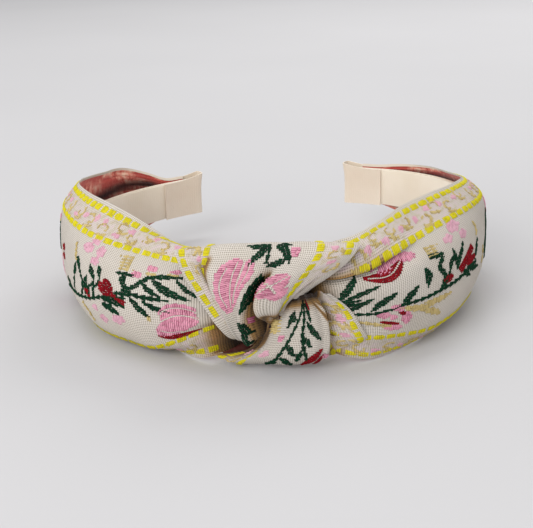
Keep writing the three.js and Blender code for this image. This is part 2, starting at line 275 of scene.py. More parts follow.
# Near the knot the right wing's upper border is pleated down over its field.
RIGHT_COLUMNS = [0, 11, 12.6, 14.8, 21.2, 30.2, 39.2, 48.2, 60.4]
RIGHT_WING = {
    2: [(-2, 27), (1.6, 25.8), (2, 25.4), (1.6, 24.8), (2.2, 23), (2.2, 20), (2.2, 17), (2, 14), (1.6, 11)],
    8: [(0.4, 31), (6, 27.2), (7, 25.6), (3.6, 26.2), (5.6, 23.6), (6.6, 20.5), (7, 17), (7.4, 13.6),
        (7, 8.6)],
    14: [(2, 34.3), (9.8, 28), (10.8, 26), (6.6, 26.8), (9.6, 23.5), (11, 19.6), (11.2, 15.2), (10.4, 10.4),
         (8.6, 3.8)],
    20: [(0.8, 35.4), (9.6, 29.8), (11, 27.6), (7.2, 28.4), (10.6, 24.8), (12, 19.8), (11.8, 14.6),
         (11, 8.6), (9, 1.2)],
    28: [(-3, 36.7), (5.8, 32.2), (7.6, 30.2), (6, 29.8), (10.2, 26), (11.8, 19.8), (11, 13.3), (9.6, 6.8),
         (6.8, 0.8)],
    38: [(-5.4, 39.5), (1.8, 33.4), (3, 32.2), (4.2, 30.8), (8, 27.5), (10.3, 20.5), (9.8, 12.8),
         (7.8, 5.2), (3, 0.5)],
    48: [(-5.2, 41), (2, 35.6), (3, 34.7), (4.2, 33.2), (7, 29), (8.6, 21.5), (8, 13.3),
         (5.2, 5.4), (-1.2, 0.4)],
    60: [(-5, 41.2), (1.8, 36.3), (2.8, 35.3), (3.6, 33.9), (5.2, 29.3), (6.1, 21.5), (5.6, 13.6),
         (2.6, 5.8), (-6, 0.4)],
    75: [(-5, 39.6), (1.2, 35.2), (2, 34.3), (2.6, 32.9), (3.4, 28.6), (3.9, 21.3), (3.2, 12.8),
         (-0.4, 5.2), (-9.6, 0.4)],
    90: [(-4, 36.8), (1, 33.4), (1.7, 32.6), (2.2, 31.5), (2.9, 27.6), (3.2, 21), (2.4, 12.8),
         (-1, 5.4), (-9.6, 1)],
    105: [(-1.8, 34), (1.9, 31.2), (2.5, 30.5), (2.9, 29.5), (3.6, 26.2), (3.9, 21), (3.2, 14.2),
          (0.8, 7.6), (-5.6, 3.5)],
    118: [(1, 32.3), (3, 29.6), (3.4, 29), (3.7, 28.2), (4.2, 25.2), (4.3, 20.8), (3.8, 15.6),
          (2.2, 10.8), (-1, 7.6)],
    130: [(2.2, 31), (3.1, 28.3), (3.2, 27.8), (3.2, 27.1), (3.3, 24.6), (3.2, 21), (3, 17.2),
          (2.4, 13.8), (1.3, 11.4)],
    138: [(2.2, 29.8), (2.4, 27.2), (2.5, 26.9), (2.5, 26.3), (2.4, 24.1), (2.3, 21), (2.2, 17.9),
          (2.1, 15), (1.9, 12.8)],
    144: [(1.8, 28.7), (1.8, 26.5), (1.8, 26.1), (1.8, 25.5), (1.8, 23.8), (1.8, 21.3), (1.8, 18.9),
          (1.8, 16.5), (1.8, 14.2)],
    150: [(1.8, 28.3), (1.8, 26.1), (1.8, 25.7), (1.8, 25.1), (1.8, 23.5), (1.8, 21.1), (1.8, 18.7),
          (1.8, 16.3), (1.8, 14)],
}
# The knot's turns: rows along the ribbon, each point (across the head, out from the hoop, height).
UPPER_ROWS = [0, 7, 12, 16.5, 21, 26, 31, 36, 41, 45]
UPPER_COLUMNS = [0, 2.6, 5.6, 12.2, 14.5, 22, 31, 34, 36, 42, 48.2, 57.8, 60.4]
LOWER_ROWS = [0, 7, 14, 21, 26, 34, 42]
LOWER_COLUMNS = [0, 2.6, 12.2, 18, 24, 30, 36, 42, 46, 48.2, 57.8, 60.4]
UPPER_TURN = [
    [(-13, -3, 27.4), (-12.4, -3, 27.6), (-11.6, -3, 28), (-10, -3, 28.2), (-9.4, -3, 28.2), (-6, -3, 28.4),
     (-1, -3, 28.6), (0.6, -3, 28.6), (1.6, -3, 28.6), (4.6, -3, 28.6), (8, -3, 28.4), (12.4, -3, 28),
     (13.5, -3, 27.8)],
    [(-22, -0.6, 32.4), (-20.4, -0.8, 32.8), (-18.5, -0.9, 33), (-14.4, -1, 33.5), (-13.2, -1, 33.6),
     (-7.6, -1, 33.8), (-1, -1, 34), (1, -1, 34), (2.4, -1, 34), (7, -1, 33.9), (12, -1, 33.7),
     (19, -0.8, 33.2), (21, -0.6, 32.9)],
    [(-26.2, 4.6, 34.7), (-24, 5, 35.1), (-21.8, 5.1, 35.3), (-16.4, 5.2, 35.7), (-14.8, 5.2, 35.8),
     (-8, 5.2, 36), (-1, 5.2, 36.2), (1.2, 5.2, 36.2), (2.8, 5.2, 36.2), (8, 5.2, 36.1), (14, 5, 35.9),
     (21.8, 4.6, 35.7), (24.2, 4.2, 35.5)],
    [(-25.4, 7.9, 32.7), (-23.8, 8.8, 33), (-21.4, 9.6, 33.4), (-17.3, 10.2, 33.6), (-15.6, 10.4, 33.7),
     (-9, 10.8, 34), (-1.6, 11, 34.2), (0.8, 11, 34.2), (2.4, 11.1, 34.2), (7.4, 11.2, 34.1),
     (13.1, 10.6, 34.3), (21.3, 8.6, 34.7), (23.6, 7.6, 34.4)],
    [(-23.6, 9.3, 28.5), (-22.2, 10.2, 29.3), (-19.8, 10.8, 30.2), (-18.2, 10.2, 30.2), (-17, 12, 29.9),
     (-10.2, 13, 30.3), (-2.6, 13.2, 30.7), (0.2, 12, 30.6), (0.8, 13.5, 30.7), (5.4, 13.8, 30.9),
     (11, 13, 31.7), (19.8, 10.6, 32.9), (21.6, 9.6, 32.5)],
    [(-21, 9.7, 23.8), (-19.6, 10.6, 24.6), (-17.4, 11.2, 25.8), (-16.4, 9.8, 25.6), (-16.2, 12.6, 25),
     (-10.4, 13.7, 26), (-4.4, 14.3, 26.6), (-0.4, 10.4, 26.4), (-2.9, 15.7, 27.2), (2.6, 16.1, 27.4),
     (9, 14, 29), (17.2, 11.6, 30.6), (18.8, 10.8, 30.2)],
    [(-18, 9.7, 18.6), (-16.6, 10.6, 19.4), (-14.6, 11.2, 20.6), (-13.8, 9.6, 20.4), (-13.8, 12.6, 19.8),
     (-10, 13.7, 21), (-6, 14.6, 21.8), (-1.2, 10, 21.6), (-4.3, 16.1, 22.8), (1.2, 16.6, 23.6),
     (6.8, 14.2, 25.8), (13.8, 12.2, 28), (15.8, 11.2, 28)],
    [(-14.6, 9.3, 13.2), (-13.2, 10.2, 14), (-12, 10.6, 15), (-11.6, 9, 15), (-11.9, 11.8, 14.8),
     (-9.2, 13, 15.8), (-6.4, 14, 16.8), (-0.6, 9.4, 16.6), (-3.4, 15.9, 19), (0.8, 16.2, 20.2),
     (4.7, 14, 22.6), (10.6, 12.2, 26), (12.4, 11.3, 25.8)],
    [(-11, 7.1, 9.2), (-9.8, 8, 9.8), (-9.6, 8.4, 10), (-9.2, 8.4, 10.2), (-9.4, 9.8, 9.9),
     (-7.8, 10.9, 9.9), (-4.8, 12, 10.6), (-0.2, 9.2, 12.4), (-1.2, 13.8, 16.9), (1, 14, 17.6),
     (2.8, 13.4, 19.8), (8, 12, 24), (10, 11, 23.8)],
    [(-7, 5, 9), (-7, 5.4, 9), (-7, 5.6, 9), (-6.8, 5.8, 9), (-7, 6.6, 8.8), (-6.2, 7.2, 8.6),
     (-4.4, 7.8, 8.6), (-2.4, 8, 11), (1, 10.6, 15.6), (1.8, 11, 16), (2.6, 11, 17.6), (6, 10.4, 21),
     (7.6, 10, 21)],
]
LOWER_TURN = [
    [(1, 9, 20), (1.5, 9.2, 20.3), (3, 10, 21), (4.5, 10.8, 21.8), (6, 11.3, 22.4), (7.6, 11.6, 23),
     (9, 11.8, 23.4), (10.4, 11.8, 23.6), (11.6, 11.8, 23.6), (12.5, 11, 23.6), (15.2, 10.2, 23),
     (15.8, 9.8, 22.8)],
    [(-2.5, 7.5, 14), (-2, 8, 14.4), (0.2, 10.3, 15.4), (1.6, 12.2, 16.3), (4.6, 13, 16.8),
     (7.8, 13.3, 17), (10.8, 13.2, 17.3), (13.2, 12.6, 17.8), (14.4, 11.8, 18.2), (13.3, 9, 18.2),
     (20.2, 10, 17.8), (21.3, 9.4, 18.2)],
    [(-6.2, 6.8, 6), (-5.4, 7.8, 6.4), (-3, 10.4, 8), (-0.8, 12, 9.8), (2.8, 13.4, 10.6),
     (7, 13.9, 10.8), (11.2, 13.6, 11), (14.2, 12.6, 11.2), (15.8, 11.4, 11.4), (14.7, 9.2, 11.4),
     (23.3, 9.6, 11.4), (25, 8.6, 12)],
    [(-16.6, 3.2, 3), (-14.6, 4.8, 2.6), (-9.6, 8.8, 2.8), (-4.8, 10.8, 4.1), (0.5, 12, 4.6),
     (6.4, 12.4, 4.6), (11, 12.1, 4.6), (14, 11.2, 5), (15.8, 10.4, 5.6), (16.4, 8.6, 6), (24.6, 8, 8.2),
     (26.6, 7, 8.4)],
    [(-15.7, 1.2, 3), (-14.2, 2.7, 2.4), (-10.6, 5.4, 1.2), (-5.5, 6.8, 1.3), (0.5, 7.8, 1.4), (6.3, 8, 1.2),
     (10.8, 7.8, 1.4), (13.6, 7.4, 2.2), (15.4, 6.8, 3.2), (17.2, 6.2, 3.6), (24.2, 4, 6), (26, 3, 6.4)],
    [(-13.5, -3, 5), (-12.4, -2.6, 4.8), (-8.6, -1.6, 4.2), (-5, -1, 3.9), (-0.6, -0.6, 3.7),
     (4, -0.5, 3.6), (8, -0.6, 3.7), (11.2, -0.9, 4), (13.4, -1.2, 4.3), (14.6, -1.4, 4.5),
     (19.6, -2.4, 5.6), (20.8, -2.7, 6)],
    [(-11.5, -4.4, 9.6), (-10.8, -4.4, 9.6), (-7.6, -4.4, 9.4), (-4.8, -4.4, 9.3), (-1.6, -4.4, 9.2),
     (1.6, -4.4, 9.2), (4.8, -4.4, 9.2), (7.6, -4.4, 9.3), (9.4, -4.4, 9.4), (10.2, -4.4, 9.4),
     (12.6, -4.4, 9.6), (13.2, -4.4, 9.7)],
]


def soft_waves(u, v, size):
    """A slow unevenness, as cloth pulled by hand has; from -1 to 1."""
    a = u / size
    b = v / size
    first = np.sin(a * 1.7 + 1.3 * np.sin(b * 1.1 + 0.4))
    second = np.sin(b * 2.3 + 1.1 * np.sin(a * 0.9 + 2.0) + 1.0)
    third = np.sin((a + b) * 3.1 + 0.7) * 0.5
    return (first + second + third) / 2.5


def wing(columns, sections, side):
    """A wing's face, from under the knot round to the tip of the hoop."""
    stations = [length_at(angle) for angle in sections]
    shape = np.array(list(sections.values()), float)
    along = fine(stations[0], stations[-1], GRID / 2)
    across = fine(0, WIDTH, GRID / 2)
    grid = net(stations, columns, shape, along, across)
    angle = np.interp(along, LENGTHS, ANGLES)[:, None]
    x, y = hoop_point(angle, grid[..., 0])
    face = Surface(along, across, np.stack([x * side, y, grid[..., 1]], -1))
    if side < 0:
        face.turned()
    face.turned()
    u = along[:, None]
    v = across[None, :]
    pulled = np.exp(-((u - 12) / 13) ** 2)  # 1 where the knot pulls it
    gathered = np.clip((u - length_at(GATHER_ANGLE)) / 45, 0, 1)  # 1 where the cap holds it
    lift = 0.22 * soft_waves(u + 3 * side, v, 7.5) * (1 - gathered)
    lift = lift + 0.45 * pulled * np.sin(v * 0.62 + u * 0.09 + side)
    lift = lift + 0.55 * gathered * (1 + np.sin(v * 1.55 + 0.05 * u))
    return face.rise(lift)


def turn(rows, columns, points, crease):
    """A turn of the knot, with small creases that grow from one row to another."""
    shape = np.array(points, float)
    shape = np.stack([shape[..., 0], CENTRE_Y - HALF_DEPTH - shape[..., 1], shape[..., 2]], -1)
    along = fine(rows[0], rows[-1], GRID / 2)
    across = fine(0, WIDTH, GRID / 2)
    face = Surface(along, across, net(rows, columns, shape, along, across))
    u = along[:, None]
    v = across[None, :]
    near = np.clip((u - crease[0]) / (crease[1] - crease[0]), 0, 1)
    lift = 0.16 * soft_waves(u, v, 5.0) + 0.3 * near * np.sin(v * 0.85 + 0.06 * u)
    return face.rise(lift)


# --------------------------------------------------------------------------- materials


RAMP = "ShaderNodeValToRGB"
MATHS = "ShaderNodeMath"
NOISE = "ShaderNodeTexNoise"
WEAVE_PITCH = 0.62  # real jacquard ground is near 0.35 mm; drawn coarser so that it shows
RIB_PITCH = 0.9  # real grosgrain ribs are near 0.6 mm; drawn coarser so that they show


def linear(colour):
    """An sRGB hex colour as linear red, green, blue and alpha."""
    parts = [int(colour[i:i + 2], 16) / 255 for i in (1, 3, 5)]
    return [c / 12.92 if c <= 0.04045 else ((c + 0.055) / 1.055) ** 2.4 for c in parts] + [1.0]


def add(tree, kind, inputs, stops=(), **settings):
    """Adds a node: sets or links its inputs, places a ramp's stops and makes its settings."""
    made = tree.nodes.new(kind)
    for name, value in settings.items():
        setattr(made, name, value)
    for _ in stops[2:]:
        made.color_ramp.elements.new(0.5)
    for number, (spot, colour) in enumerate(stops):
        made.color_ramp.elements[number].position = spot
        made.color_ramp.elements[number].color = linear(colour)
    for name, value in inputs.items():
        if isinstance(value, bpy.types.NodeSocket):
            tree.links.new(value, made.inputs[name])
        else:
            made.inputs[name].default_value = linear(value) if isinstance(value, str) else value
    return made


def new_material(name, **shader):
    """A material, its node tree and its shader node, with the shader's plain settings."""
    made = bpy.data.materials.new(name)
    made.use_nodes = True
    tree = made.node_tree
    surface = tree.nodes["Principled BSDF"]
    for socket, value in shader.items():
        surface.inputs[socket.replace("_", " ")].default_value = value
    return made, tree, surface


def finish(tree, surface, colour, height, depth):
    """Gives the shader its colour, and its relief from a height of a depth in millimetres."""
    relief = add(tree, "ShaderNodeBump", {"Height": height, "Distance": depth * MM, "Strength": 1.0})
    tree.links.new(colour, surface.inputs["Base Color"])
    tree.links.new(relief.outputs[0], surface.inputs["Normal"])


def ribbon_axes(tree):
    """Along and across the ribbon in millimetres, from the piece's own UV map."""
    flat = add(tree, "ShaderNodeUVMap", {}, uv_map="ribbon").outputs["UV"]
    parts = add(tree, "ShaderNodeSeparateXYZ", {0: flat})
    along, across = [add(tree, MATHS, {0: parts.outputs[axis], 1: 1 / MM}, operation="MULTIPLY").outputs[0]
                     for axis in "XY"]
    return flat, along, across


def thread_wave(tree, axis, pitch):
    """Rises and falls once in a pitch in millimetres, from -1 to 1."""
    turns = add(tree, MATHS, {0: axis, 1: 2 * math.pi / pitch, 2: 0.0}, operation="MULTIPLY_ADD")
    return add(tree, MATHS, {0: turns.outputs[0]}, operation="SINE").outputs[0]


def plain_weave(tree):
    """A plain weave: 1 on a thread's crown, 0 in the pinholes where four threads meet."""
    flat, along, across = ribbon_axes(tree)
    waves = [thread_wave(tree, axis, WEAVE_PITCH * 2) for axis in (across, along)]
    threads = [add(tree, MATHS, {0: wave}, operation="ABSOLUTE").outputs[0] for wave in waves]
    highest = add(tree, MATHS, {0: threads[0], 1: threads[1]}, operation="MAXIMUM").outputs[0]
    crowns = add(tree, MATHS, {0: threads[0], 1: threads[1]}, operation="MULTIPLY").outputs[0]
    part = add(tree, MATHS, {0: crowns, 1: 0.35}, operation="MULTIPLY").outputs[0]
    height = add(tree, MATHS, {0: highest, 1: 0.65, 2: part}, operation="MULTIPLY_ADD").outputs[0]
    return flat, across, height


def between_dashes(tree, across):
    """1 on both borders, between their two rows of dashes, and 0 elsewhere."""
    middle = (OUTER_DASHES + INNER_DASHES) / 2
    half = (INNER_DASHES - OUTER_DASHES - DASH_WIDTH) / 2
    upper, lower = [add(tree, MATHS, {0: across, 1: line, 2: half}, operation="COMPARE").outputs[0]
                    for line in (middle, WIDTH - middle)]
    return add(tree, MATHS, {0: upper, 1: lower}, operation="ADD").outputs[0]


def jacquard_ground():
    """Cream polyester-cotton jacquard: a matt ground whose threads show as a fine dotted check,
    with straw and blush wefts tied down in its borders, and painted shade, golden brown to dark brown, deep
    in its folds."""
    made, tree, surface = new_material("jacquard_ground", Roughness=0.8, Sheen_Weight=0.1,
                                       Sheen_Roughness=0.45, Specular_IOR_Level=0.25)
    flat, across, height = plain_weave(tree)
    check = add(tree, RAMP, {0: height}, [(0.1, "#4c4030"), (0.42, "#b5ab9b"),
                                          (0.85, "#ded6cd")]).outputs[0]
    blotch = add(tree, NOISE, {"Vector": flat, "Scale": 60.0, "Detail": 3.0}).outputs[0]
    uneven = add(tree, RAMP, {0: blotch}, [(0.35, "#b7ac9a"), (0.65, "#dad3ca")]).outputs[0]
    toned = add(tree, "ShaderNodeMix", {0: 0.2, 6: check, 7: uneven}, data_type="RGBA").outputs[2]
    specks = add(tree, NOISE, {"Vector": flat, "Scale": 520.0, "Detail": 2.0}).outputs[0]
    wefts = add(tree, RAMP, {0: specks}, [(0.38, "#b9a47c"), (0.48, "#d2c6ba"),
                                          (0.62, "#dbc0c9")]).outputs[0]
    share = add(tree, MATHS, {0: between_dashes(tree, across), 1: 0.42}, operation="MULTIPLY").outputs[0]
    bordered = add(tree, "ShaderNodeMix", {0: share, 6: toned, 7: wefts}, data_type="RGBA").outputs[2]
    # Painted shade: the fold attribute multiplies the ground towards golden brown and then deep brown along
    # the crease lines.
    fold = add(tree, "ShaderNodeAttribute", {}, attribute_name="fold").outputs["Fac"]
    shade = add(tree, RAMP, {0: fold}, [(0.0, "#ffffff"), (0.4, "#c09a62"), (0.95, "#33200a")]).outputs[0]
    shaded = add(tree, "ShaderNodeMix", {0: 1.0, 6: bordered, 7: shade}, data_type="RGBA",
                 blend_type="MULTIPLY").outputs[2]
    finish(tree, surface, shaded, height, 0.28)
    return made


def jacquard_reverse():
    """The reverse of the brocade, where the red, pink and tan wefts lie loose in streaks and patches,
    between cream selvedges."""
    made, tree, surface = new_material("jacquard_reverse", Roughness=0.85, Sheen_Weight=0.2,
                                       Specular_IOR_Level=0.2)
    flat, _, across = ribbon_axes(tree)
    stretch = add(tree, "ShaderNodeMapping", {"Vector": flat, "Scale": (1.0, 0.28, 1.0)}).outputs[0]
    streaks = add(tree, NOISE, {"Vector": stretch, "Scale": 420.0, "Detail": 4.0,
                                "Roughness": 0.65}).outputs[0]
    wefts = add(tree, RAMP, {0: streaks}, [(0.34, "#96302a"), (0.45, "#dc7664"), (0.56, "#eeb09a"),
                                           (0.7, "#f2dcc0")]).outputs[0]
    clouds = add(tree, NOISE, {"Vector": flat, "Scale": 85.0, "Detail": 2.0}).outputs[0]
    patches = add(tree, RAMP, {0: clouds}, [(0.42, "#000000"), (0.6, "#ffffff")]).outputs[0]
    loose = add(tree, "ShaderNodeMix", {0: patches, 6: "#c45248", 7: wefts}, data_type="RGBA").outputs[2]
    # Painted shade: the reverse is multiplied towards deep brown next to the knot, along the hoop behind the
    # lining, and inside the knot.
    reverse_shade = add(tree, "ShaderNodeAttribute", {}, attribute_name="reverse_shade").outputs["Fac"]
    shaded = add(tree, "ShaderNodeMix", {0: reverse_shade, 6: loose, 7: "#3a1206"}, data_type="RGBA",
                 blend_type="MULTIPLY").outputs[2]
    edge = add(tree, MATHS, {0: across, 1: 0.0, 2: SELVEDGE}, operation="COMPARE").outputs[0]
    edged = add(tree, "ShaderNodeMix", {0: edge, 6: shaded, 7: "#cbbfae"}, data_type="RGBA").outputs[2]
    finish(tree, surface, edged, streaks, 0.3)
    return made


def floss(name, dark, light, shine=0.3):
    """Spun polyester floss: floats lie side by side, with painted highlight on their crowns and painted shade
    at their edges, at their ends and in the ribbon's folds.
    """
    made, tree, surface = new_material(name, Roughness=0.62, Specular_IOR_Level=shine)
    shares = add(tree, "ShaderNodeUVMap", {}, uv_map="ribbon").outputs["UV"]
    parts = add(tree, "ShaderNodeSeparateXYZ", {0: shares})
    own = add(tree, MATHS, {0: parts.outputs["X"], 1: 0.35}, operation="MULTIPLY").outputs[0]
    tone = add(tree, MATHS, {0: parts.outputs["Y"], 1: 0.65, 2: own}, operation="MULTIPLY_ADD").outputs[0]
    # Painted light: a float's crown takes the light colour and its edges and ends the dark one, dimmed in
    # folds; the rest of its tone differs at random.
    shade = add(tree, RAMP, {0: tone}, [(0.12, dark), (0.62, light)]).outputs[0]
    spot = add(tree, "ShaderNodeTexCoord", {}).outputs["Object"]
    fuzz = add(tree, NOISE, {"Vector": spot, "Scale": 2600.0, "Detail": 2.0}).outputs[0]
    finish(tree, surface, shade, fuzz, 0.05)
    return made


def grosgrain(name, dark, light):
    """Polyester grosgrain: close cross ribs with a low satin shine."""
    made, tree, surface = new_material(name, Roughness=0.6, Sheen_Weight=0.3,
                                       Specular_IOR_Level=0.35)
    flat, along, across = ribbon_axes(tree)
    ribs = thread_wave(tree, along, RIB_PITCH)
    threads = thread_wave(tree, across, 0.7)
    height = add(tree, MATHS, {0: threads, 1: 0.3, 2: ribs}, operation="MULTIPLY_ADD").outputs[0]
    cloud = add(tree, NOISE, {"Vector": flat, "Scale": 45.0, "Detail": 3.0}).outputs[0]
    tone = add(tree, RAMP, {0: cloud}, [(0.3, dark), (0.7, light)]).outputs[0]
    finish(tree, surface, tone, height, 0.02)
    return made


def moulded_plastic():
    """Injection-moulded polypropylene: a faint orange-peel and a soft shine."""
    made, tree, surface = new_material("hoop_polypropylene", Roughness=0.42, Specular_IOR_Level=0.5,
                                       IOR=1.49)
    spot = add(tree, "ShaderNodeTexCoord", {}).outputs["Object"]
    peel = add(tree, NOISE, {"Vector": spot, "Scale": 700.0, "Detail": 2.0}).outputs[0]
    tone = add(tree, RAMP, {0: peel}, [(0.3, "#d5c8b2"), (0.7, "#e2d8c6")]).outputs[0]
    finish(tree, surface, tone, peel, 0.03)
    return made


def hot_melt():
    """Hot-melt glue: cloudy amber, with the ripples it sets in."""
    made, tree, surface = new_material("hot_melt_glue", Roughness=0.3, IOR=1.48)
    spot = add(tree, "ShaderNodeTexCoord", {}).outputs["Object"]
    ripple = add(tree, NOISE, {"Vector": spot, "Scale": 300.0, "Detail": 2.0}).outputs[0]
    tone = add(tree, RAMP, {0: ripple}, [(0.3, "#c9b98c"), (0.7, "#e3d9b6")]).outputs[0]
    finish(tree, surface, tone, ripple, 0.1)
    return made


def studio_paper():
    """Matt seamless paper: no shine, and hardly any grain."""
    made, tree, surface = new_material("studio_paper", Roughness=0.9, Specular_IOR_Level=0.1)
    spot = add(tree, "ShaderNodeTexCoord", {}).outputs["Object"]
    grain = add(tree, NOISE, {"Vector": spot, "Scale": 4.0}).outputs[0]
    tone = add(tree, RAMP, {0: grain}, [(0.3, "#c7c6c7"), (0.7, "#cac9ca")]).outputs[0]
    tree.links.new(tone, surface.inputs["Base Color"])
    return made


GROUND = jacquard_ground()
REVERSE = jacquard_reverse()
LINING = grosgrain("grosgrain_lining", "#dfd3be", "#ebe1d0")
CAP = grosgrain("grosgrain_cap", "#d9cab6", "#e4d8c6")
PLASTIC = moulded_plastic()
GLUE = hot_melt()
# Each floss gives the colour of its painted shade, at a float's edges, and then of its painted highlight, on
# its crown.
FLOSS = {
    "dashes": floss("yellow_floss", "#aa9e00", "#d6c90a"),
    "vine": floss("bottle_green_floss", "#010d06", "#083822", 0.1),
    "red_buds": floss("crimson_floss", "#3e0005", "#8c0516", 0.12),
    "pink_petals": floss("rose_floss", "#8e3a58", "#df9cb0"),
    "pale_petals": floss("blush_floss", "#ba8092", "#daacba"),
    "gold_figures": floss("straw_floss", "#8d763a", "#cab57c"),
}

# --------------------------------------------------------------------------- meshes


def place(points):
    """Points in millimetres as the metres of the frame."""
    return (np.asarray(points, float) * MM).tolist()


def folded(creases, u, v):
    """How much painted shade each place on a ribbon gets from the crease lines near it: 0 in the open, 1
    where no light reaches.
    """
    deep = np.zeros(np.shape(u))
    for points, reach, depth in creases:
        line = np.array(points, float)
        for a, b in zip(line[:-1], line[1:]):
            run = b - a
            t = np.clip(((u - a[0]) * run[0] + (v - a[1]) * run[1]) / (run @ run), 0, 1)
            away = np.hypot(u - a[0] - t * run[0], v - a[1] - t * run[1])
            deep = np.maximum(deep, depth * np.exp(-(away / reach) ** 2))
    return deep


def new_piece(name, points, faces, materials, uv):
    """A mesh piece at the origin, with its place in its mesh and its flat place in its UV map."""
    mesh = bpy.data.meshes.new(name)
    mesh.from_pydata(place(points), [], faces)
    for material in materials:
        mesh.materials.append(material)
    layer = mesh.uv_layers.new(name="ribbon")
    corners = np.zeros(len(mesh.loops), int)
    mesh.loops.foreach_get("vertex_index", corners)
    layer.data.foreach_set("uv", (np.asarray(uv)[corners] * MM).ravel())
    piece = bpy.data.objects.new(name, mesh)
    bpy.context.scene.collection.objects.link(piece)
    mesh.update()
    return piece


def only(piece):
    """Selects one piece and nothing else."""
    bpy.ops.object.select_all(action="DESELECT")
    piece.select_set(True)
    bpy.context.view_layer.objects.active = piece


def apply_modifiers(piece):
    """Applies every modifier on a piece, top to bottom."""
    only(piece)
    for modifier in list(piece.modifiers):
        bpy.ops.object.modifier_apply(modifier=modifier.name)


def thicken(piece, thickness, offset, material_offset=0):
    """Gives a face its cloth's thickness in millimetres, and smooth shading."""
    thick = piece.modifiers.new("thickness", "SOLIDIFY")
    thick.thickness = thickness * MM
    thick.offset = offset
    thick.material_offset = material_offset
    apply_modifiers(piece)
    bpy.ops.object.shade_smooth_by_angle(angle=math.radians(50))


def soften(piece, width, segments, **limit):
    """Rounds a piece's sharp edges by a width in millimetres, and shades it smooth."""
    soft = piece.modifiers.new("soft_edges", "BEVEL")
    soft.width = width * MM
    soft.segments = segments
    soft.limit_method = "ANGLE"
    for name, value in limit.items():
        setattr(soft, name, value)
    apply_modifiers(piece)
    bpy.ops.object.shade_smooth_by_angle(angle=math.radians(40))


def facing(points, faces):
    """Which way a mesh's first face looks."""
    corner = np.array(points)[list(faces[0])]
    return np.cross(corner[1] - corner[0], corner[2] - corner[1])


def grid_faces(rows, columns):
    """Quads of a grid of points, row by row."""
    corner = np.arange((rows - 1) * columns).reshape(rows - 1, columns)[:, :-1].ravel()
    return np.stack([corner, corner + columns, corner + columns + 1, corner + 1], -1).tolist()


def cloth(name, face, step=GRID):
    """A piece of the brocade: its face as a grid, its thickness and its reverse behind that."""
    u = fine(face.along[0], face.along[-1], step)
    v = fine(face.across[0], face.across[-1], step)
    uu, vv = np.meshgrid(u, v, indexing="ij")
    points = face.read(uu.ravel(), vv.ravel())
    faces = grid_faces(len(u), len(v))
    if facing(points, faces) @ face.normals[0, 0] < 0:
        faces = [quad[::-1] for quad in faces]
    piece = new_piece(name, points, faces, [GROUND, REVERSE], np.stack([uu.ravel(), vv.ravel()], -1))
    # The painted shade of the face's folds and of its reverse, as attributes that the materials read.
    for label, lines in (("fold", face.creases), ("reverse_shade", face.reverse_shade_lines)):
        depth = piece.data.attributes.new(label, "FLOAT", "POINT")
        depth.data.foreach_set("value", folded(lines, uu.ravel(), vv.ravel()))
    thicken(piece, CLOTH, -1, material_offset=1)
    return piece


# --------------------------------------------------------------------------- figures
# A figure is an outline on the flat ribbon, (along, across) in millimetres.


def leaf(root, tip, width, bow=0.0):
    """A pointed leaf from its root to its tip, bowed to one side."""
    t = np.linspace(0, 1, 9)
    root = np.array(root, float)
    run = np.array(tip, float) - root
    side = np.array([-run[1], run[0]]) / np.hypot(*run)
    middle = root + t[:, None] * run + (bow * np.sin(math.pi * t))[:, None] * side
    half = (width / 2 * np.sin(math.pi * np.clip(t, 0.03, 0.97)) ** 0.75)[:, None] * side
    return np.concatenate([middle + half, (middle - half)[::-1]])


def stem(points, width):
    """A stalk of even width through a few points."""
    points = np.array(points, float)
    lengths = np.concatenate([[0], np.cumsum(np.hypot(*np.diff(points, axis=0).T))])
    middle = through(lengths, points, np.linspace(0, lengths[-1], 4 * len(points)))
    run = np.gradient(middle, axis=0)
    side = np.stack([-run[:, 1], run[:, 0]], -1) / np.hypot(*run.T)[:, None] * width / 2
    return np.concatenate([middle + side, (middle - side)[::-1]])


def patch(points):
    """A rounded shape through a ring of points."""
    ring = np.array(points + points[:1], float)
    return through(np.arange(len(ring)), ring, np.linspace(0, len(points), 5 * len(points), endpoint=False))


def bud(centre, length, width, turn=0.0, lobes=0, depth=0.0):
    """A rounded bud or petal, long along the ribbon before it is turned by degrees."""
    t = np.linspace(0, 2 * math.pi, 24, endpoint=False)
    size = 1 + depth * np.cos(lobes * t)
    flat = np.stack([np.cos(t) * length / 2, np.sin(t) * width / 2], -1) * size[:, None]
    a = math.radians(turn)
    spin = np.array([[math.cos(a), math.sin(a)], [-math.sin(a), math.cos(a)]])
    return np.array(centre, float) + flat @ spin


def scroll(centre, start):
    """A C-shaped scroll that opens as it turns, from a start in degrees."""
    t = np.linspace(0, 1, 7)
    angle = math.radians(start) + t * math.radians(250)
    reach = SCROLL_RADIUS * (0.55 + 0.6 * t)
    points = np.stack([centre[0] + reach * np.cos(angle), centre[1] + reach * np.sin(angle)], -1)
    return stem(points, SCROLL_WIDTH)


def dash_row(first, last, across):
    """A row of short satin dashes along the ribbon."""
    found = []
    for k in range(int((last - first) / DASH_PITCH)):
        centre = first + (k + 0.5) * DASH_PITCH
        u = centre + DASH_LENGTH / 2 * np.array([-1, -0.8, 0.8, 1, 1, 0.8, -0.8, -1])
        v = across + DASH_WIDTH / 2 * np.array([-0.6, -1, -1, -0.6, 0.6, 1, 1, 0.6])
        found.append(np.stack([u, v], -1))
    return found


def crossings(outline, u):
    """Where a line across the ribbon enters and leaves an outline."""
    a = outline
    b = np.roll(outline, -1, axis=0)
    hit = (a[:, 0] <= u) != (b[:, 0] <= u)
    a = a[hit]
    b = b[hit]
    found = np.sort(a[:, 1] + (u - a[:, 0]) / (b[:, 0] - a[:, 0]) * (b[:, 1] - a[:, 1]))
    return list(zip(found[::2], found[1::2]))


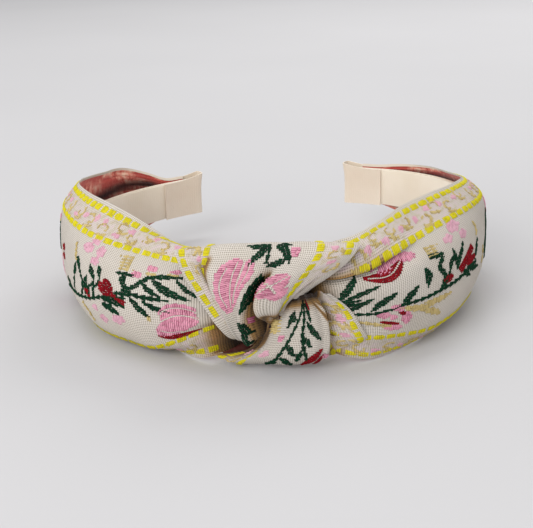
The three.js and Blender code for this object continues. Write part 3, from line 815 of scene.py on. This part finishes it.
def joined(spans):
    """Overlapping spans made one."""
    found = []
    for low, high in sorted(spans):
        if found and low <= found[-1][1] + 0.05:
            found[-1] = (found[-1][0], max(high, found[-1][1]))
        else:
            found.append((low, high))
    return found


def without(spans, cuts):
    """Spans with the cuts taken out of them."""
    for a, b in cuts:
        spans = [part for low, high in spans
                 for part in ((low, min(high, a)), (max(low, b), high)) if part[1] > part[0]]
    return spans


def floats(outlines, veins, ragged):
    """Weft floats that fill outlines and leave veins bare: (along, from, to across).
    Their lengths and their ends step through short cycles, so that no two neighbours match."""
    found = []
    first = math.ceil(min(o[:, 0].min() for o in outlines) / THREAD)
    last = math.floor(max(o[:, 0].max() for o in outlines) / THREAD)
    for k in range(first, last + 1):
        u = k * THREAD
        low_edge = ragged * (((k * 3) % 4) / 3 - 0.4)
        high_edge = ragged * (((k * 7) % 4) / 3 - 0.4)
        spans = joined([span for o in outlines for span in crossings(o, u + 1e-6)])
        spans = [(low - low_edge, high + high_edge) for low, high in spans]
        spans = without(spans, [span for o in veins for span in crossings(o, u + 1e-6)])
        for low, high in spans:
            if high - low < SHORTEST_FLOAT:
                continue
            start = low
            end = low + FLOAT_LENGTH * (0.45 + 0.55 * ((k * 5) % 7) / 6)
            while start < high - 0.2:
                stop = high if high - end < 0.7 else end
                found.append((u, start, min(stop, high)))
                start = stop + FLOAT_GAP
                end = start + FLOAT_LENGTH
    return found


def embroidery(name, face, outlines, veins, material):
    """The floats of one colour on a ribbon's face, as low rounded threads."""
    low = face.along[0] + 0.4
    high = face.along[-1] - 0.4
    ragged = TRIM if name.endswith(("dashes", "red_buds")) else RAGGED
    runs = [run for run in floats(outlines, veins, ragged) if low < run[0] < high]
    steps = 4  # along each float, which has a low edge, a crown and another low edge
    t = np.linspace(0, 1, steps + 1)
    rise = FLOAT_RISE * (1 - (2 * t - 1) ** 4)
    uu, vv, lift, faces, shade = [], [], [], [], []
    dice = np.random.default_rng(len(name))
    for number, (u, a, b) in enumerate(runs):
        v = a + (b - a) * t
        tone = dice.random()
        # Painted shade and highlight: floats in folds are darkened, and each float is painted light on its
        # crown, darker at its ends and dark at its edges.
        open_share = 1 - folded(face.creases, np.full(steps + 1, u), v)
        for offset, height in ((-0.5, 0.0), (0.0, 1.0), (0.5, 0.0)):
            uu.append(np.full(steps + 1, u + offset * THREAD * 0.98))
            vv.append(v)
            lift.append(rise * height + 0.03)
            crown = height * np.where(rise > 0, 1.0, 0.55)
            shade.append(np.stack([tone * open_share, crown * open_share], -1))
        start = number * 3 * (steps + 1)
        for strip in range(2):
            for k in range(steps):
                a0 = start + strip * (steps + 1) + k
                faces.append((a0, a0 + steps + 1, a0 + steps + 2, a0 + 1))
    uu = np.concatenate(uu)
    vv = np.clip(np.concatenate(vv), 0.1, WIDTH - 0.1)
    points = face.read(uu, vv, np.concatenate(lift))
    outward = face.read(uu[:1], vv[:1], 1.0)[0] - face.read(uu[:1], vv[:1])[0]
    if facing(points, faces) @ outward < 0:
        faces = [quad[::-1] for quad in faces]
    piece = new_piece(name, points, faces, [material], np.concatenate(shade) / MM)
    only(piece)
    bpy.ops.object.shade_smooth()
    return piece


def no_figures():
    """A list for the outlines of each colour of floss, and one for the veins left bare in them."""
    return {name: [] for name in [*FLOSS, "veins"]}


def left_figures():
    """The left wing's vine, from the knot outwards."""
    made = no_figures()
    made["vine"] += [
        stem([(71.5, 37), (65, 36.5), (58.5, 36), (52.5, 35), (45.5, 32.5), (38, 31)], 1.0),
        stem([(62, 36), (62, 33), (61.5, 29.5), (60.5, 26)], 0.8),
        leaf((60.8, 30), (60, 24.5), 1.6),
        stem([(56.5, 35), (55.5, 31), (57, 27), (59, 22.5)], 1.0),
        leaf((57.5, 27), (58.5, 21.5), 1.8),
        leaf((54, 34.5), (53, 27), 2.0, 0.5),
        stem([(52, 34.5), (52.5, 32), (49.8, 28.5), (51.5, 24)], 1.0),
        leaf((50.4, 27.5), (52, 22.8), 2.0),
        stem([(50, 34), (50.3, 32), (47.6, 27.5), (48.6, 22.5)], 1.0),
        leaf((47.6, 26.5), (48.6, 22), 1.8),
        leaf((71, 34), (66, 36.5), 1.8),
        leaf((47.5, 33.2), (38.5, 34.2), 2.4, 0.5),
        leaf((47.5, 35), (40.5, 37.3), 2.4, 0.5),
        leaf((42.5, 22.6), (35.5, 22.2), 1.5),
        stem([(39, 22.6), (39.6, 25), (38.3, 27), (38.6, 30)], 1.9),
        leaf((42.5, 30.4), (34, 28.6), 1.8),
        stem([(38, 29), (34.5, 25), (31.5, 22), (27, 20.6), (21.5, 20)], 1.5),
        leaf((32, 21.6), (24, 21), 1.5),
        leaf((31, 21.4), (19.5, 29.8), 2.9, -1.0),
        leaf((23.5, 20.4), (16.5, 29), 1.7, -0.8),
        leaf((33.5, 24), (27.4, 28.8), 1.9, -0.5),
        leaf((37, 29.4), (25, 30.2), 1.7, 0.3),
        leaf((33, 30.6), (25, 35), 1.9, -0.3),
        leaf((37, 29.6), (30.6, 36.4), 2.1, -0.4),
    ]
    made["red_buds"] += [
        bud((73, 24), 3.0, 3.0), bud((72.6, 27.4), 3.0, 3.0),
        bud((53.2, 33.3), 3.6, 2.2, -40), bud((44.2, 28.4), 5.6, 3.2, -60), bud((46.6, 29.6), 4.4, 2.8, -70),
        stem([(46, 31.2), (42.5, 31.4), (38.2, 33)], 1.8),
        leaf((29.5, 43.2), (17, 47), 2.6, -0.9),
    ]
    made["pink_petals"] += [
        bud((35.5, 21.5), 3.0, 2.6), bud((31.2, 18), 3.6, 2.6), bud((23.5, 17.6), 3.6, 2.0, 20),
        bud((23.2, 35.6), 10.4, 9.0, 8), bud((23.4, 41), 12.6, 7.4, 12),
    ]
    made["veins"] += [
        stem([(28.6, 38.4), (27, 34.4), (23, 33), (19, 35), (17.6, 38)], 0.5),
        stem([(30, 39.8), (26.4, 37.6), (23, 36.6), (20, 37.6), (17, 40.6)], 0.55),
        stem([(28, 41.6), (26, 43), (22, 44)], 0.4),
    ]
    made["pale_petals"] += [
        bud((55, 17), 4.4, 4.0, 0, 5, 0.1), bud((53.2, 13.8), 3.4, 2.6), bud((49.8, 17), 3.4, 4.4, 0, 5, 0.1),
        bud((50.8, 21), 3.4, 3.0), bud((50.5, 37.4), 2.6, 2.0), bud((48, 40.5), 3.4, 2.6),
        bud((41.5, 39), 5.0, 3.0, 20, 5, 0.1),
    ]
    made["gold_figures"] += [
        stem([(61.5, 17.5), (60.5, 20.5), (59.8, 24)], 1.1),
        stem([(57, 37.5), (55, 40), (54, 43)], 1.0),
        bud((31, 20.4), 3.4, 1.2), bud((24, 19.6), 4.0, 1.2), bud((31, 36.8), 2.4, 1.2, 90),
    ]
    made["gold_figures"] += [leaf((43.4 - 0.3 * k, 16 + 1.25 * k), (37.6 - 0.2 * k, 15.2 + 1.25 * k), 0.9)
                             for k in range(5)]
    return made


def right_figures():
    """The right wing's vine, from the knot outwards."""
    made = no_figures()
    made["vine"] += [
        stem([(66, 32), (60, 32.6), (52, 34), (45.5, 34), (40, 34.4), (33.5, 34.8), (24, 37.4),
              (17, 36.4)], 1.2),
        leaf((38, 28.6), (32.4, 36), 2.6, 0.6), leaf((31.5, 28.6), (24, 36.4), 2.6, 0.6),
        leaf((25, 29.6), (18, 36.2), 2.4, 0.5), leaf((21, 18.6), (16.4, 29), 2.6, 0.5),
        leaf((26.6, 24.4), (16.6, 29.2), 2.2, 0.3), leaf((21.5, 29.6), (14, 30.4), 2.4),
        leaf((22, 32), (13.6, 30.8), 2.4), leaf((20, 35), (14, 33), 2.2),
        stem([(43, 21), (45.5, 21.2), (47.4, 23), (46, 26), (47.4, 29.5), (46.4, 33.4)], 1.6),
        leaf((48.6, 22.4), (42.2, 21), 2.0), leaf((40, 23.6), (40.6, 31), 2.6, -1.2),
        leaf((56, 33.6), (63, 31.4), 2.2), leaf((56, 31.6), (61, 35.4), 2.2),
        leaf((54, 30.6), (52, 22.6), 1.8), leaf((53, 30.4), (57.4, 22), 1.8),
        stem([(47.6, 33.6), (49.5, 29.5), (51.4, 26)], 1.0), leaf((49.8, 29), (51.6, 24.6), 1.8),
        leaf((60, 33), (68, 34.6), 2.0), leaf((64, 31.6), (67.4, 24), 1.8),
    ]
    made["red_buds"] += [
        leaf((22.6, 20), (35, 17.8), 4.6, 2.8),
        bud((49, 31.4), 4.4, 3.0, 10), stem([(54.6, 31.4), (58, 29), (62.4, 25.6)], 3.0),
        bud((61.6, 30), 6.6, 2.8, -10), bud((29.4, 42), 6.4, 1.4, 12), bud((33, 38.2), 3.0, 1.6, 40),
    ]
    made["veins"] += [stem([(24, 20.4), (28.8, 21.4), (34, 18.4)], 0.4)]
    made["pink_petals"] += [
        bud((25.4, 16.6), 4.8, 4.4, 20), bud((30.2, 16.8), 9.0, 4.0, -6), bud((36, 17.4), 6.6, 3.6, 10),
        bud((28.6, 19.6), 4.6, 2.0), bud((27.6, 38.4), 4.0, 3.0), bud((31.6, 35.8), 4.4, 2.8, 30),
        bud((34.4, 40.4), 3.2, 5.0), bud((30.6, 44), 5.6, 2.4), bud((30.4, 39.6), 2.6, 2.2),
    ]
    made["pale_petals"] += [
        bud((56, 15.4), 5.4, 4.4, 0, 5, 0.1), bud((58.6, 19.6), 4.0, 3.4),
        bud((52, 18.4), 3.6, 3.4, 0, 5, 0.1),
    ]
    made["gold_figures"] += [
        leaf((32, 35.6), (43.4, 38.2), 2.4, 0.6), leaf((39.4, 36.2), (50.6, 36.8), 2.2, 0.6),
        leaf((38.6, 38.6), (47.4, 43.2), 2.2, -0.4), stem([(66.6, 17.6), (67.4, 20.6), (67, 23.6)], 1.1),
        stem([(74, 30), (75.6, 32.6), (75, 36)], 1.1), stem([(20, 41), (25, 42.4), (30, 43.4)], 1.3),
    ]
    made["gold_figures"] += [leaf((42 + 0.2 * k, 17.2 + 1.2 * k), (47.6 - 0.1 * k, 18 + 1.2 * k), 0.9)
                             for k in range(4)]
    return made


def border(centres, blooms, made):
    """Adds scrolls and small pale blooms between the two rows of dashes."""
    for number, (u, v) in enumerate(centres):
        made["gold_figures"].append(scroll((u, v), 70 * number))
        made["gold_figures"].append(leaf((u - 2.4, v + 1.6), (u + 1.8, v + 3.0), 1.3, 0.4))
    for number, (u, v) in enumerate(blooms):
        made["pale_petals"].append(bud((u, v), 2.7, 2.1, 40 * number, 5, 0.14))


def border_run(first, across, made):
    """An even run of scrolls from a first place, and of blooms between them, towards the tip."""
    scrolls, blooms = across
    last = length_at(FIGURES_END)
    border([(u, scrolls) for u in np.arange(first, last, BORDER_STEP)],
           [(u, blooms) for u in np.arange(first + 4, last, BORDER_STEP)], made)


def wing_figures(figures, upper_scrolls, upper_blooms, repeat, plain_to, upper_start):
    """All the figures of a wing: its vine, the next repeat of it, its borders and its dashes."""
    last = length_at(FIGURES_END)
    for outlines in figures.values():
        again = [outline + np.array([repeat, 0.0]) for outline in outlines]
        outlines += [outline for outline in again if outline[:, 0].max() < last]
    border(upper_scrolls, upper_blooms, figures)
    border_run(78, (7.4, 6.4), figures)
    border_run(22, (WIDTH - 5.6, WIDTH - 4.6), figures)
    for across, start in ((INNER_DASHES, upper_start), (WIDTH - INNER_DASHES, plain_to),
                          (OUTER_DASHES, plain_to), (WIDTH - OUTER_DASHES, plain_to)):
        figures["dashes"] += dash_row(start, last + DASHES_PAST, across)
    return figures


def upper_turn_figures():
    """The figures that show on the knot's upper turn and its tongue."""
    made = no_figures()
    made["pink_petals"] += [
        patch([(18.2, 18.6), (20.4, 17.2), (24.4, 16.7), (28, 16.2), (30.6, 16.8), (32.2, 18.8), (31.6, 21.2),
               (28.8, 25), (25.6, 27), (22, 28.6), (18.6, 28.2), (17, 26.4), (17.9, 25.2), (16.9, 23.4),
               (16.8, 21), (17.4, 19.6)]),
        bud((25.4, 39.6), 8.0, 8.4, 20),
        bud((29, 42.6), 4.4, 4.6), bud((15, 41), 3.0, 3.0), bud((35.6, 31.4), 1.7, 1.3),
    ]
    made["veins"] += [
        stem([(19.4, 20), (23, 18.6), (27, 18.1), (30.6, 19)], 0.4),
        stem([(17.8, 22.8), (22, 21.9), (27, 21), (31, 20.4)], 0.45),
        stem([(16.2, 25), (20, 24.7), (25, 23.5), (30, 21.6)], 0.7),
        stem([(18.4, 27), (22, 26.5), (26, 24.9)], 0.4),
        stem([(28, 37), (25.6, 39.4), (22.6, 42.4)], 0.55), stem([(24, 36), (25, 39), (28.4, 41.6)], 0.5),
    ]
    made["vine"] += [
        leaf((13.2, 33.4), (12.6, 24), 2.0, 0.5), leaf((14, 32.4), (19, 26.2), 2.4, -0.6),
        stem([(12.6, 32.6), (15, 32.4), (18.6, 32)], 1.1), leaf((13, 34.4), (18.4, 40.2), 2.4, 0.9),
        leaf((19.6, 32), (16.6, 39.6), 2.2, -0.5), leaf((21.8, 31.4), (33.4, 28.4), 4.0, 0.7),
        leaf((35.6, 26), (38.6, 31.4), 2.6), leaf((39, 25.4), (41.6, 30.8), 2.4),
        leaf((36.4, 30), (42.6, 27), 2.2), leaf((24.5, 32.6), (34, 32.4), 1.4),
        leaf((13.2, 34.6), (12.8, 40), 1.6),
    ]
    made["red_buds"] += [bud((26.8, 36.6), 1.8, 1.5), bud((29.2, 36.4), 1.8, 1.5)]
    made["gold_figures"] += [stem([(22, 8), (27, 8.6), (32, 8.4)], 1.0)]
    border([(14, 6.4), (20.6, 7.6), (17, 53.4), (25, 55)], [(16.6, 9), (14.6, 53), (21.4, 54)], made)
    for v, last in ((OUTER_DASHES, 36), (INNER_DASHES - 0.6, 36), (WIDTH - OUTER_DASHES, 21)):
        made["dashes"] += dash_row(1.4, last, v)
    for dash in dash_row(1.4, 43, WIDTH - INNER_DASHES):
        drift = 1.5 * min(max((dash[0, 0] - 18) / 16, 0), 1)
        made["dashes"].append(dash - np.array([0, drift]))
    return made


def lower_turn_figures():
    """The figures that show on the knot's lower turn."""
    made = no_figures()
    made["vine"] += [
        stem([(1.5, 33), (6, 30), (15.5, 26), (24, 23.6)], 1.1),
        stem([(1.5, 33), (6, 32.2), (12, 31.6), (22, 34)], 1.2),
        leaf((6, 24), (7.4, 28.6), 2.4), leaf((4, 27), (10, 24.4), 2.0),
        leaf((8, 33), (14.6, 40.4), 2.4, -0.4), leaf((2, 34), (9, 35.4), 1.8),
        leaf((15, 26.2), (19.6, 29.6), 2.0), leaf((17, 31.8), (21.6, 30), 2.0),
        leaf((20, 25.4), (24.6, 29), 2.2), leaf((21, 24.6), (25, 21), 2.0),
        leaf((12.6, 31.6), (16.6, 35.4), 2.0),
    ]
    made["red_buds"] += [leaf((25, 31.4), (17.6, 41.6), 3.4, 0.4), leaf((26, 36.4), (20, 42.4), 2.6, 0.3),
                         stem([(1.6, 35.2), (4.6, 36)], 1.3)]
    made["veins"] += [stem([(25.4, 34), (22, 38.2), (18.8, 42)], 0.5)]
    made["pink_petals"] += [bud((13, 23), 2.2, 3.0), bud((21.4, 43.2), 4.6, 2.6, 70)]
    made["pale_petals"] += [bud((18.6, 19.6), 3.0, 3.4, 0, 5, 0.1)]
    made["gold_figures"] += [leaf((6 + 1.1 * k, 11 + k), (6.4 + 1.1 * k, 20.4 + 0.4 * k), 1.3)
                             for k in range(5)]
    border([(6.6, 53.4), (12.6, 53.6), (20, 53), (20, 7)], [(9.4, 55), (15.4, 54.6), (16, 7)], made)
    for v in (OUTER_DASHES, INNER_DASHES + 1.2, WIDTH - INNER_DASHES, WIDTH - OUTER_DASHES):
        made["dashes"] += dash_row(3 if v > 30 else 15.6, 40, v)
    return made


def embroider(prefix, face, figures):
    """One piece for each colour of floss on a ribbon."""
    return [embroidery(prefix + "_" + name, face, figures[name], figures["veins"], FLOSS[name])
            for name in FLOSS if figures[name]]


# --------------------------------------------------------------------------- pieces


def narrowing(angle):
    """The share of its width that the hoop keeps at an angle: a little less towards its tips."""
    return 1 - NARROWING * min(max((math.degrees(angle) - NARROW_FROM) / NARROW_OVER, 0), 1)


def hoop_strip(name, side, material, outs, edge, last=TIP_ANGLE):
    """Half of a strip that follows the hoop: an arc of its section, its long edges rounded."""
    angles = np.radians(fine(0.0, last, HOOP_STEP))
    corners = [(outs[0], -edge), (outs[1], -edge), (outs[1], edge), (outs[0], edge)]
    points = []
    texture = []
    for angle in angles:
        for number, (out, corner) in enumerate(corners):
            z = corner * narrowing(angle)
            x, y = hoop_point(angle, out)
            points.append((side * x, y, hoop_height(angle, side) + z))
            shift = 0.3 if number in (1, 2) else 0  # so that the strip's two faces don't share threads
            texture.append((float(np.interp(angle, ANGLES, LENGTHS)), z + shift))
    faces = []
    for row in range(len(angles) - 1):
        for k in range(4):
            a = row * 4 + k
            b = row * 4 + (k + 1) % 4
            faces.append((a, a + 4, b + 4, b))
    faces.append((0, 1, 2, 3))
    end = (len(angles) - 1) * 4
    faces.append((end + 3, end + 2, end + 1, end))
    if side < 0:
        faces = [f[::-1] for f in faces]
    piece = new_piece(name, points, faces, [material], texture)
    only(piece)
    bpy.ops.object.mode_set(mode="EDIT")
    bpy.ops.mesh.select_all(action="SELECT")
    bpy.ops.mesh.normals_make_consistent(inside=False)
    bpy.ops.object.mode_set(mode="OBJECT")
    soften(piece, min(HOOP_SOFTNESS, (outs[1] - outs[0]) * 0.4), 2, angle_limit=math.radians(50))
    return piece


def bend_at_flex(piece):
    """Bakes the piece's place into its mesh; the piece does not bend."""
    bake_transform(piece)


def tip_cap(side):
    """A short ribbon folded over the hoop's tip, its end pressed flat and a little flared."""
    angles = np.radians(fine(CAP_ANGLE, TIP_ANGLE, 1.0))
    middle = (CAP_FACES[1] + CAP_FACES[0]) / 2
    radius = (CAP_FACES[1] - CAP_FACES[0]) / 2
    swings = [math.pi * k / 8 for k in range(1, 8)]
    route = [(angle, CAP_FACES[0], 0.0) for angle in angles]
    route += [(angles[-1], middle - radius * math.cos(swing), CAP_ROUND * math.sin(swing))
              for swing in swings]
    route += [(angle, CAP_FACES[1], 0.0) for angle in angles[::-1]]
    points = []
    across = np.linspace(-1, 1, CAP_COLUMNS)
    for angle, out, beyond in route:
        x, y = hoop_point(angle, out)
        run = hoop_run(angle)
        near = np.clip((math.degrees(angle) - CAP_ANGLE - 4) / 9, 0, 1) ** 2
        for w in across:
            upper = max(w, 0.0) ** 3
            flare = CAP_EDGE * w + near * CAP_FLARE * upper
            pinch = near * CAP_PINCH * (1 - w * w) * (1 if out < CAP_PINCH else -1)
            ahead = beyond + near * CAP_SPREAD * upper
            px = x + run[0] * ahead + pinch * x / HALF_SPAN * 0.5
            py = y + run[1] * ahead
            points.append((side * px, py, hoop_height(angle, side) + flare))
    grid = np.array(points).reshape(len(route), CAP_COLUMNS, 3)
    steps = np.linalg.norm(np.diff(grid[:, CAP_COLUMNS // 2], axis=0), axis=1)
    lengths = np.concatenate([[0], np.cumsum(steps)])
    texture = [(length, CAP_EDGE * w) for length in lengths for w in across]
    faces = grid_faces(len(route), CAP_COLUMNS)
    piece = new_piece("tip_cap_ribbon_" + ("left" if side < 0 else "right"), points, faces, [CAP], texture)
    x, y = hoop_point(angles[0], 10.0)
    if facing(points, faces) @ (np.array([side * x, y, 20]) - grid[0, 0]) > 0:
        only(piece)
        bpy.ops.object.mode_set(mode="EDIT")
        bpy.ops.mesh.select_all(action="SELECT")
        bpy.ops.mesh.flip_normals()
        bpy.ops.object.mode_set(mode="OBJECT")
    thicken(piece, CAP_CLOTH, 0)
    return piece, float(lengths[-1])


def back_band():
    """The ribbon folded narrow across the back of the hoop, which holds both turns of the knot."""
    along = fine(0, BAND_LENGTH, GRID / 2)
    across = fine(-BAND_HALF, BAND_HALF, GRID / 2)
    points = np.zeros((len(along), len(across), 3))
    points[..., 0] = across[None, :]
    points[..., 2] = MID_HEIGHT - BAND_LENGTH / 2 + along[:, None]
    fold = 0.35 * np.sin(across * 0.9)[None, :] + 0.2 * np.sin(along * 0.35)[:, None]
    edge = np.clip(np.abs(across) - 11.5, 0, 2)[None, :]
    points[..., 1] = CENTRE_Y - HALF_DEPTH + BAND_BEHIND + fold - edge * 0.6
    face = Surface(along, across, points)
    if face.normals[5, 5] @ np.array([0, 1, 0]) < 0:
        face.turned()
    return face


def inner_pass():
    """The ribbon's hidden pass through the middle of the knot, rolled soft."""
    low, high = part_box("knot_core")
    bpy.ops.object.select_all(action="DESELECT")
    bpy.ops.mesh.primitive_cylinder_add(vertices=32, radius=0.5, depth=1.0, rotation=(0, math.pi / 2, 0))
    piece = bpy.context.object
    piece.name = "knot_inner_pass"
    bpy.ops.object.transform_apply(location=False, rotation=True, scale=False)
    piece.scale = [(high[k] - low[k]) * PASS_SHARE for k in range(3)]
    piece.location = (low + high) / 2
    bpy.ops.object.transform_apply(location=True, rotation=False, scale=True)
    bpy.ops.object.mode_set(mode="EDIT")
    bpy.ops.mesh.select_mode(type="FACE")
    bpy.ops.mesh.select_all(action="DESELECT")
    bpy.ops.object.mode_set(mode="OBJECT")
    for polygon in piece.data.polygons:
        polygon.select = abs(polygon.normal.x) > 0.9
    bpy.ops.object.mode_set(mode="EDIT")
    bpy.ops.mesh.inset(thickness=PASS_INSET * MM)
    bpy.ops.mesh.extrude_region_move(TRANSFORM_OT_translate={"value": (0, 0, 0)})
    bpy.ops.transform.resize(value=(1.0, PASS_TAPER, PASS_TAPER))
    bpy.ops.object.mode_set(mode="OBJECT")
    piece.data.materials.append(GROUND)
    soften(piece, PASS_EDGE, 3)
    layer = piece.data.uv_layers.active or piece.data.uv_layers.new()
    layer.name = "ribbon"
    for loop in piece.data.loops:
        spot = piece.data.vertices[loop.vertex_index].co
        layer.data[loop.index].uv = (spot.z - spot.y, spot.x)
    return piece


# --------------------------------------------------------------------------- the studio
# The camera's lengths are millimetres. The lights' and the floor's are metres.

SENSOR = 36.0
LENS = 76.295685
CAMERA_TARGET = (-2.234, 0.0, 7.94)
CAMERA_DISTANCE = 381.5
CAMERA_ELEVATION = 18.33
CAMERA_YAW = -0.95
CAMERA_ROLL = -1.457
LIGHTS_AIM = (0, 0, 0.02)
FLOOR_SIZE = 12.0
WORLD_COLOUR = "#f4f4f5"
WORLD_STRENGTH = 0.76


def camera():
    """A long lens, a little above the headband and almost square to its knot."""
    data = bpy.data.cameras.new("camera")
    data.sensor_width = SENSOR
    data.lens = LENS
    data.clip_start = 0.01
    data.clip_end = 20.0
    made = bpy.data.objects.new("camera", data)
    bpy.context.scene.collection.objects.link(made)
    rise = math.radians(CAMERA_ELEVATION)
    back = Vector((0, -math.cos(rise), math.sin(rise)))
    right = Vector((1, 0, 0))
    up = right.cross(-back)
    up.normalize()
    roll = math.radians(CAMERA_ROLL)
    level = right * math.cos(roll) + up * math.sin(roll)
    upright = up * math.cos(roll) - right * math.sin(roll)
    turn_back = Matrix.Rotation(math.radians(-CAMERA_YAW), 3, "Z")
    spot = turn_back @ (Vector(CAMERA_TARGET) + back * CAMERA_DISTANCE)
    axes = Matrix([turn_back @ level, turn_back @ upright, turn_back @ back]).transposed()
    made.matrix_world = Matrix.Translation((spot + Vector((0, CENTRE_Y, 0))) * MM) @ axes.to_4x4()
    bpy.context.scene.camera = made


def soft_light(name, spot, size, power):
    """A large soft box aimed at the headband."""
    data = bpy.data.lights.new(name, "AREA")
    data.shape = "SQUARE"
    data.size = size
    data.energy = power
    made = bpy.data.objects.new(name, data)
    bpy.context.scene.collection.objects.link(made)
    made.location = spot
    made.rotation_mode = "QUATERNION"
    made.rotation_quaternion = (Vector(LIGHTS_AIM) - Vector(spot)).to_track_quat("-Z", "Y")


def studio():
    """A pale sweep of paper under even light."""
    bpy.ops.object.select_all(action="DESELECT")
    bpy.ops.mesh.primitive_plane_add(size=FLOOR_SIZE, location=(0, 0, 0))
    floor = bpy.context.object
    floor.name = "studio_floor"
    floor.data.materials.append(studio_paper())
    soft_light("key_light", (-0.2, 0.15, 1.1), size=0.5, power=2.1)
    soft_light("fill_light", (-0.55, -1.1, 0.6), size=0.8, power=11.0)
    soft_light("back_light", (0.4, 0.9, 0.8), size=0.7, power=4.6)
    world = bpy.data.worlds.new("studio")
    world.use_nodes = True
    sky = world.node_tree.nodes["Background"]
    sky.inputs["Color"].default_value = linear(WORLD_COLOUR)
    sky.inputs["Strength"].default_value = WORLD_STRENGTH
    bpy.context.scene.world = world
    bpy.context.scene.view_settings.view_transform = "Standard"


# --------------------------------------------------------------------------- assembly


def hoop_and_lining():
    """The plastic hoop and the lining on its inner face, each in two halves that meet at the crown."""
    for side, word in ((-1, "left"), (1, "right")):
        hoop = hoop_strip("hoop_" + word + "_half", side, PLASTIC, (-HOOP_HALF, HOOP_HALF), HOOP_EDGE)
        lining = hoop_strip("lining_" + word + "_half", side, LINING, LINING_FACES, LINING_EDGE,
                            last=TIP_ANGLE - 0.5)
        for piece, kind in ((hoop, "hoop_"), (lining, "lining_")):
            nodes = [kind + word + "_arm"] + ([kind + "crown"] if side < 0 else [])
            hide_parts(*nodes)
        bend_at_flex(hoop)
        bend_at_flex(lining)
        cap, length = tip_cap(side)
        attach(cap, word + "_arm")
        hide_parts("tip_cap_" + word)


def wings():
    """Both wings of ribbon, from under the knot to the tips."""
    left = wing(LEFT_COLUMNS, LEFT_WING, -1)
    right = wing(RIGHT_COLUMNS, RIGHT_WING, 1)
    # Painted shade along the wings' folds, in the ground and its floss.
    left.creases = [([(4, 36), (9, 50), (9, 60)], 6.5, 1.0), ([(10, 4), (12, 30)], 2.2, 0.5)]
    right.creases = [([(8, 14), (20, 13.8), (29, 13.8)], 2.0, 0.95), ([(8, 15), (9, 34)], 4.6, 0.9),
                     ([(11, 36), (15, 60)], 3.0, 0.6), ([(8, 4), (11, 10)], 2.4, 0.5)]
    # Painted shade on the reverse: next to the knot and along the hoop behind the lining.
    left.reverse_shade_lines = [([(2, 0), (2, 60)], 12.0, 1.0),
                    ([(length_at(98), 34), (length_at(118), 21), (length_at(138), 14)], 5.5, 1.0),
                    ([(length_at(98), 38), (length_at(138), 50)], 5.0, 1.0)]
    right.reverse_shade_lines = [([(2, 0), (2, 60)], 12.0, 1.0),
                     ([(length_at(98), 22), (length_at(118), 14), (length_at(138), 12)], 5.0, 1.0),
                     ([(length_at(98), 38), (length_at(138), 50)], 5.0, 1.0)]
    left_marks = wing_figures(
        left_figures(),
        [(69, 7), (61.5, 7.6), (54, 8.4), (47.5, 5), (43, 8), (37, 5), (30.5, 8.2), (22, 7)],
        [(71, 9), (65, 7), (59, 6), (55, 6), (48.6, 9), (44, 5.6), (34.4, 5.4), (26, 7)],
        repeat=66.5, plain_to=14.0, upper_start=12.0)
    right_marks = wing_figures(
        right_figures(),
        [(69, 5.6), (60, 8), (54, 5.4), (49, 8.6), (42, 6), (35, 7), (28.4, 6), (21.6, 9.4)],
        [(65.4, 6), (57, 5.6), (51.4, 5), (46, 7), (39, 8), (31.4, 9.2), (25, 8.6), (19, 6)],
        repeat=65.0, plain_to=14.0, upper_start=21.0)
    for face, marks, side, word in ((left, left_marks, -1, "left"), (right, right_marks, 1, "right")):
        ribbon = cloth(word + "_wing_ribbon", face)
        threads = embroider(word + "_wing", face, marks)
        for piece in [ribbon] + threads:
            bend_at_flex(piece)
        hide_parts("cover_" + word + "_wing")


def knot():
    """The knot: upper turn with its tongue, lower turn, the hidden pass and the band behind."""
    upper = turn(UPPER_ROWS, UPPER_COLUMNS, UPPER_TURN, (24, 42))
    lower = turn(LOWER_ROWS, LOWER_COLUMNS, LOWER_TURN, (26, 4))
    # Painted shade along the turns' folds and under the tongue, in the ground and its floss.
    upper.creases = [([(25, 34), (30, 33.6), (36, 33.4), (42, 33.4)], 2.6, 1.0),
                     ([(39.5, 36), (41, 46)], 2.2, 0.8), ([(45, 0), (45, 36)], 2.4, 0.7),
                     ([(17, 12.8), (28, 12.6), (42, 12.6)], 1.3, 0.6)]
    lower.creases = [([(0.4, 0), (0.4, 48)], 2.6, 1.0), ([(0.5, 38), (4, 42), (9, 45.4)], 0.7, 0.7),
                     ([(0.5, 41), (4, 45.4), (7, 47)], 0.7, 0.7), ([(10, 12), (14, 4), (18, -1)], 3.4, 0.8),
                     ([(2, 47.6), (12, 47.8), (24, 47.8)], 1.6, 0.75)]
    # Painted shade over nearly all the reverse of both turns, which lies inside the knot.
    upper.reverse_shade_lines = [([(0, 30), (45, 30)], 60.0, 1.0)]
    lower.reverse_shade_lines = [([(0, 30), (45, 30)], 60.0, 1.0)]
    pieces = []
    for name, face, marks, share, nodes in (
            ("knot_upper_turn", upper, upper_turn_figures(), UPPER_SHARE,
             ("knot_upper_lobe", "knot_upper_tongue")),
            ("knot_lower_turn", lower, lower_turn_figures(), LOWER_SHARE, ("knot_lower_lobe",))):
        ribbon = cloth(name, face, GRID / 2)
        threads = embroider(name, face, marks)
        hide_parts(*nodes)
        pieces += [ribbon] + threads
    band = cloth("knot_back_ribbon", back_band(), GRID / 2)
    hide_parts("knot_back_band")
    core = inner_pass()
    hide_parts("knot_core")
    for piece in pieces + [band, core]:
        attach(piece, "crown")


def glue():
    """The glue beads keep their own shapes and get their finish."""
    for name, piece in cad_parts.items():
        if name.startswith("glue_"):
            piece.data.materials.clear()
            piece.data.materials.append(GLUE)


camera()
studio()
hoop_and_lining()
wings()
knot()
glue()
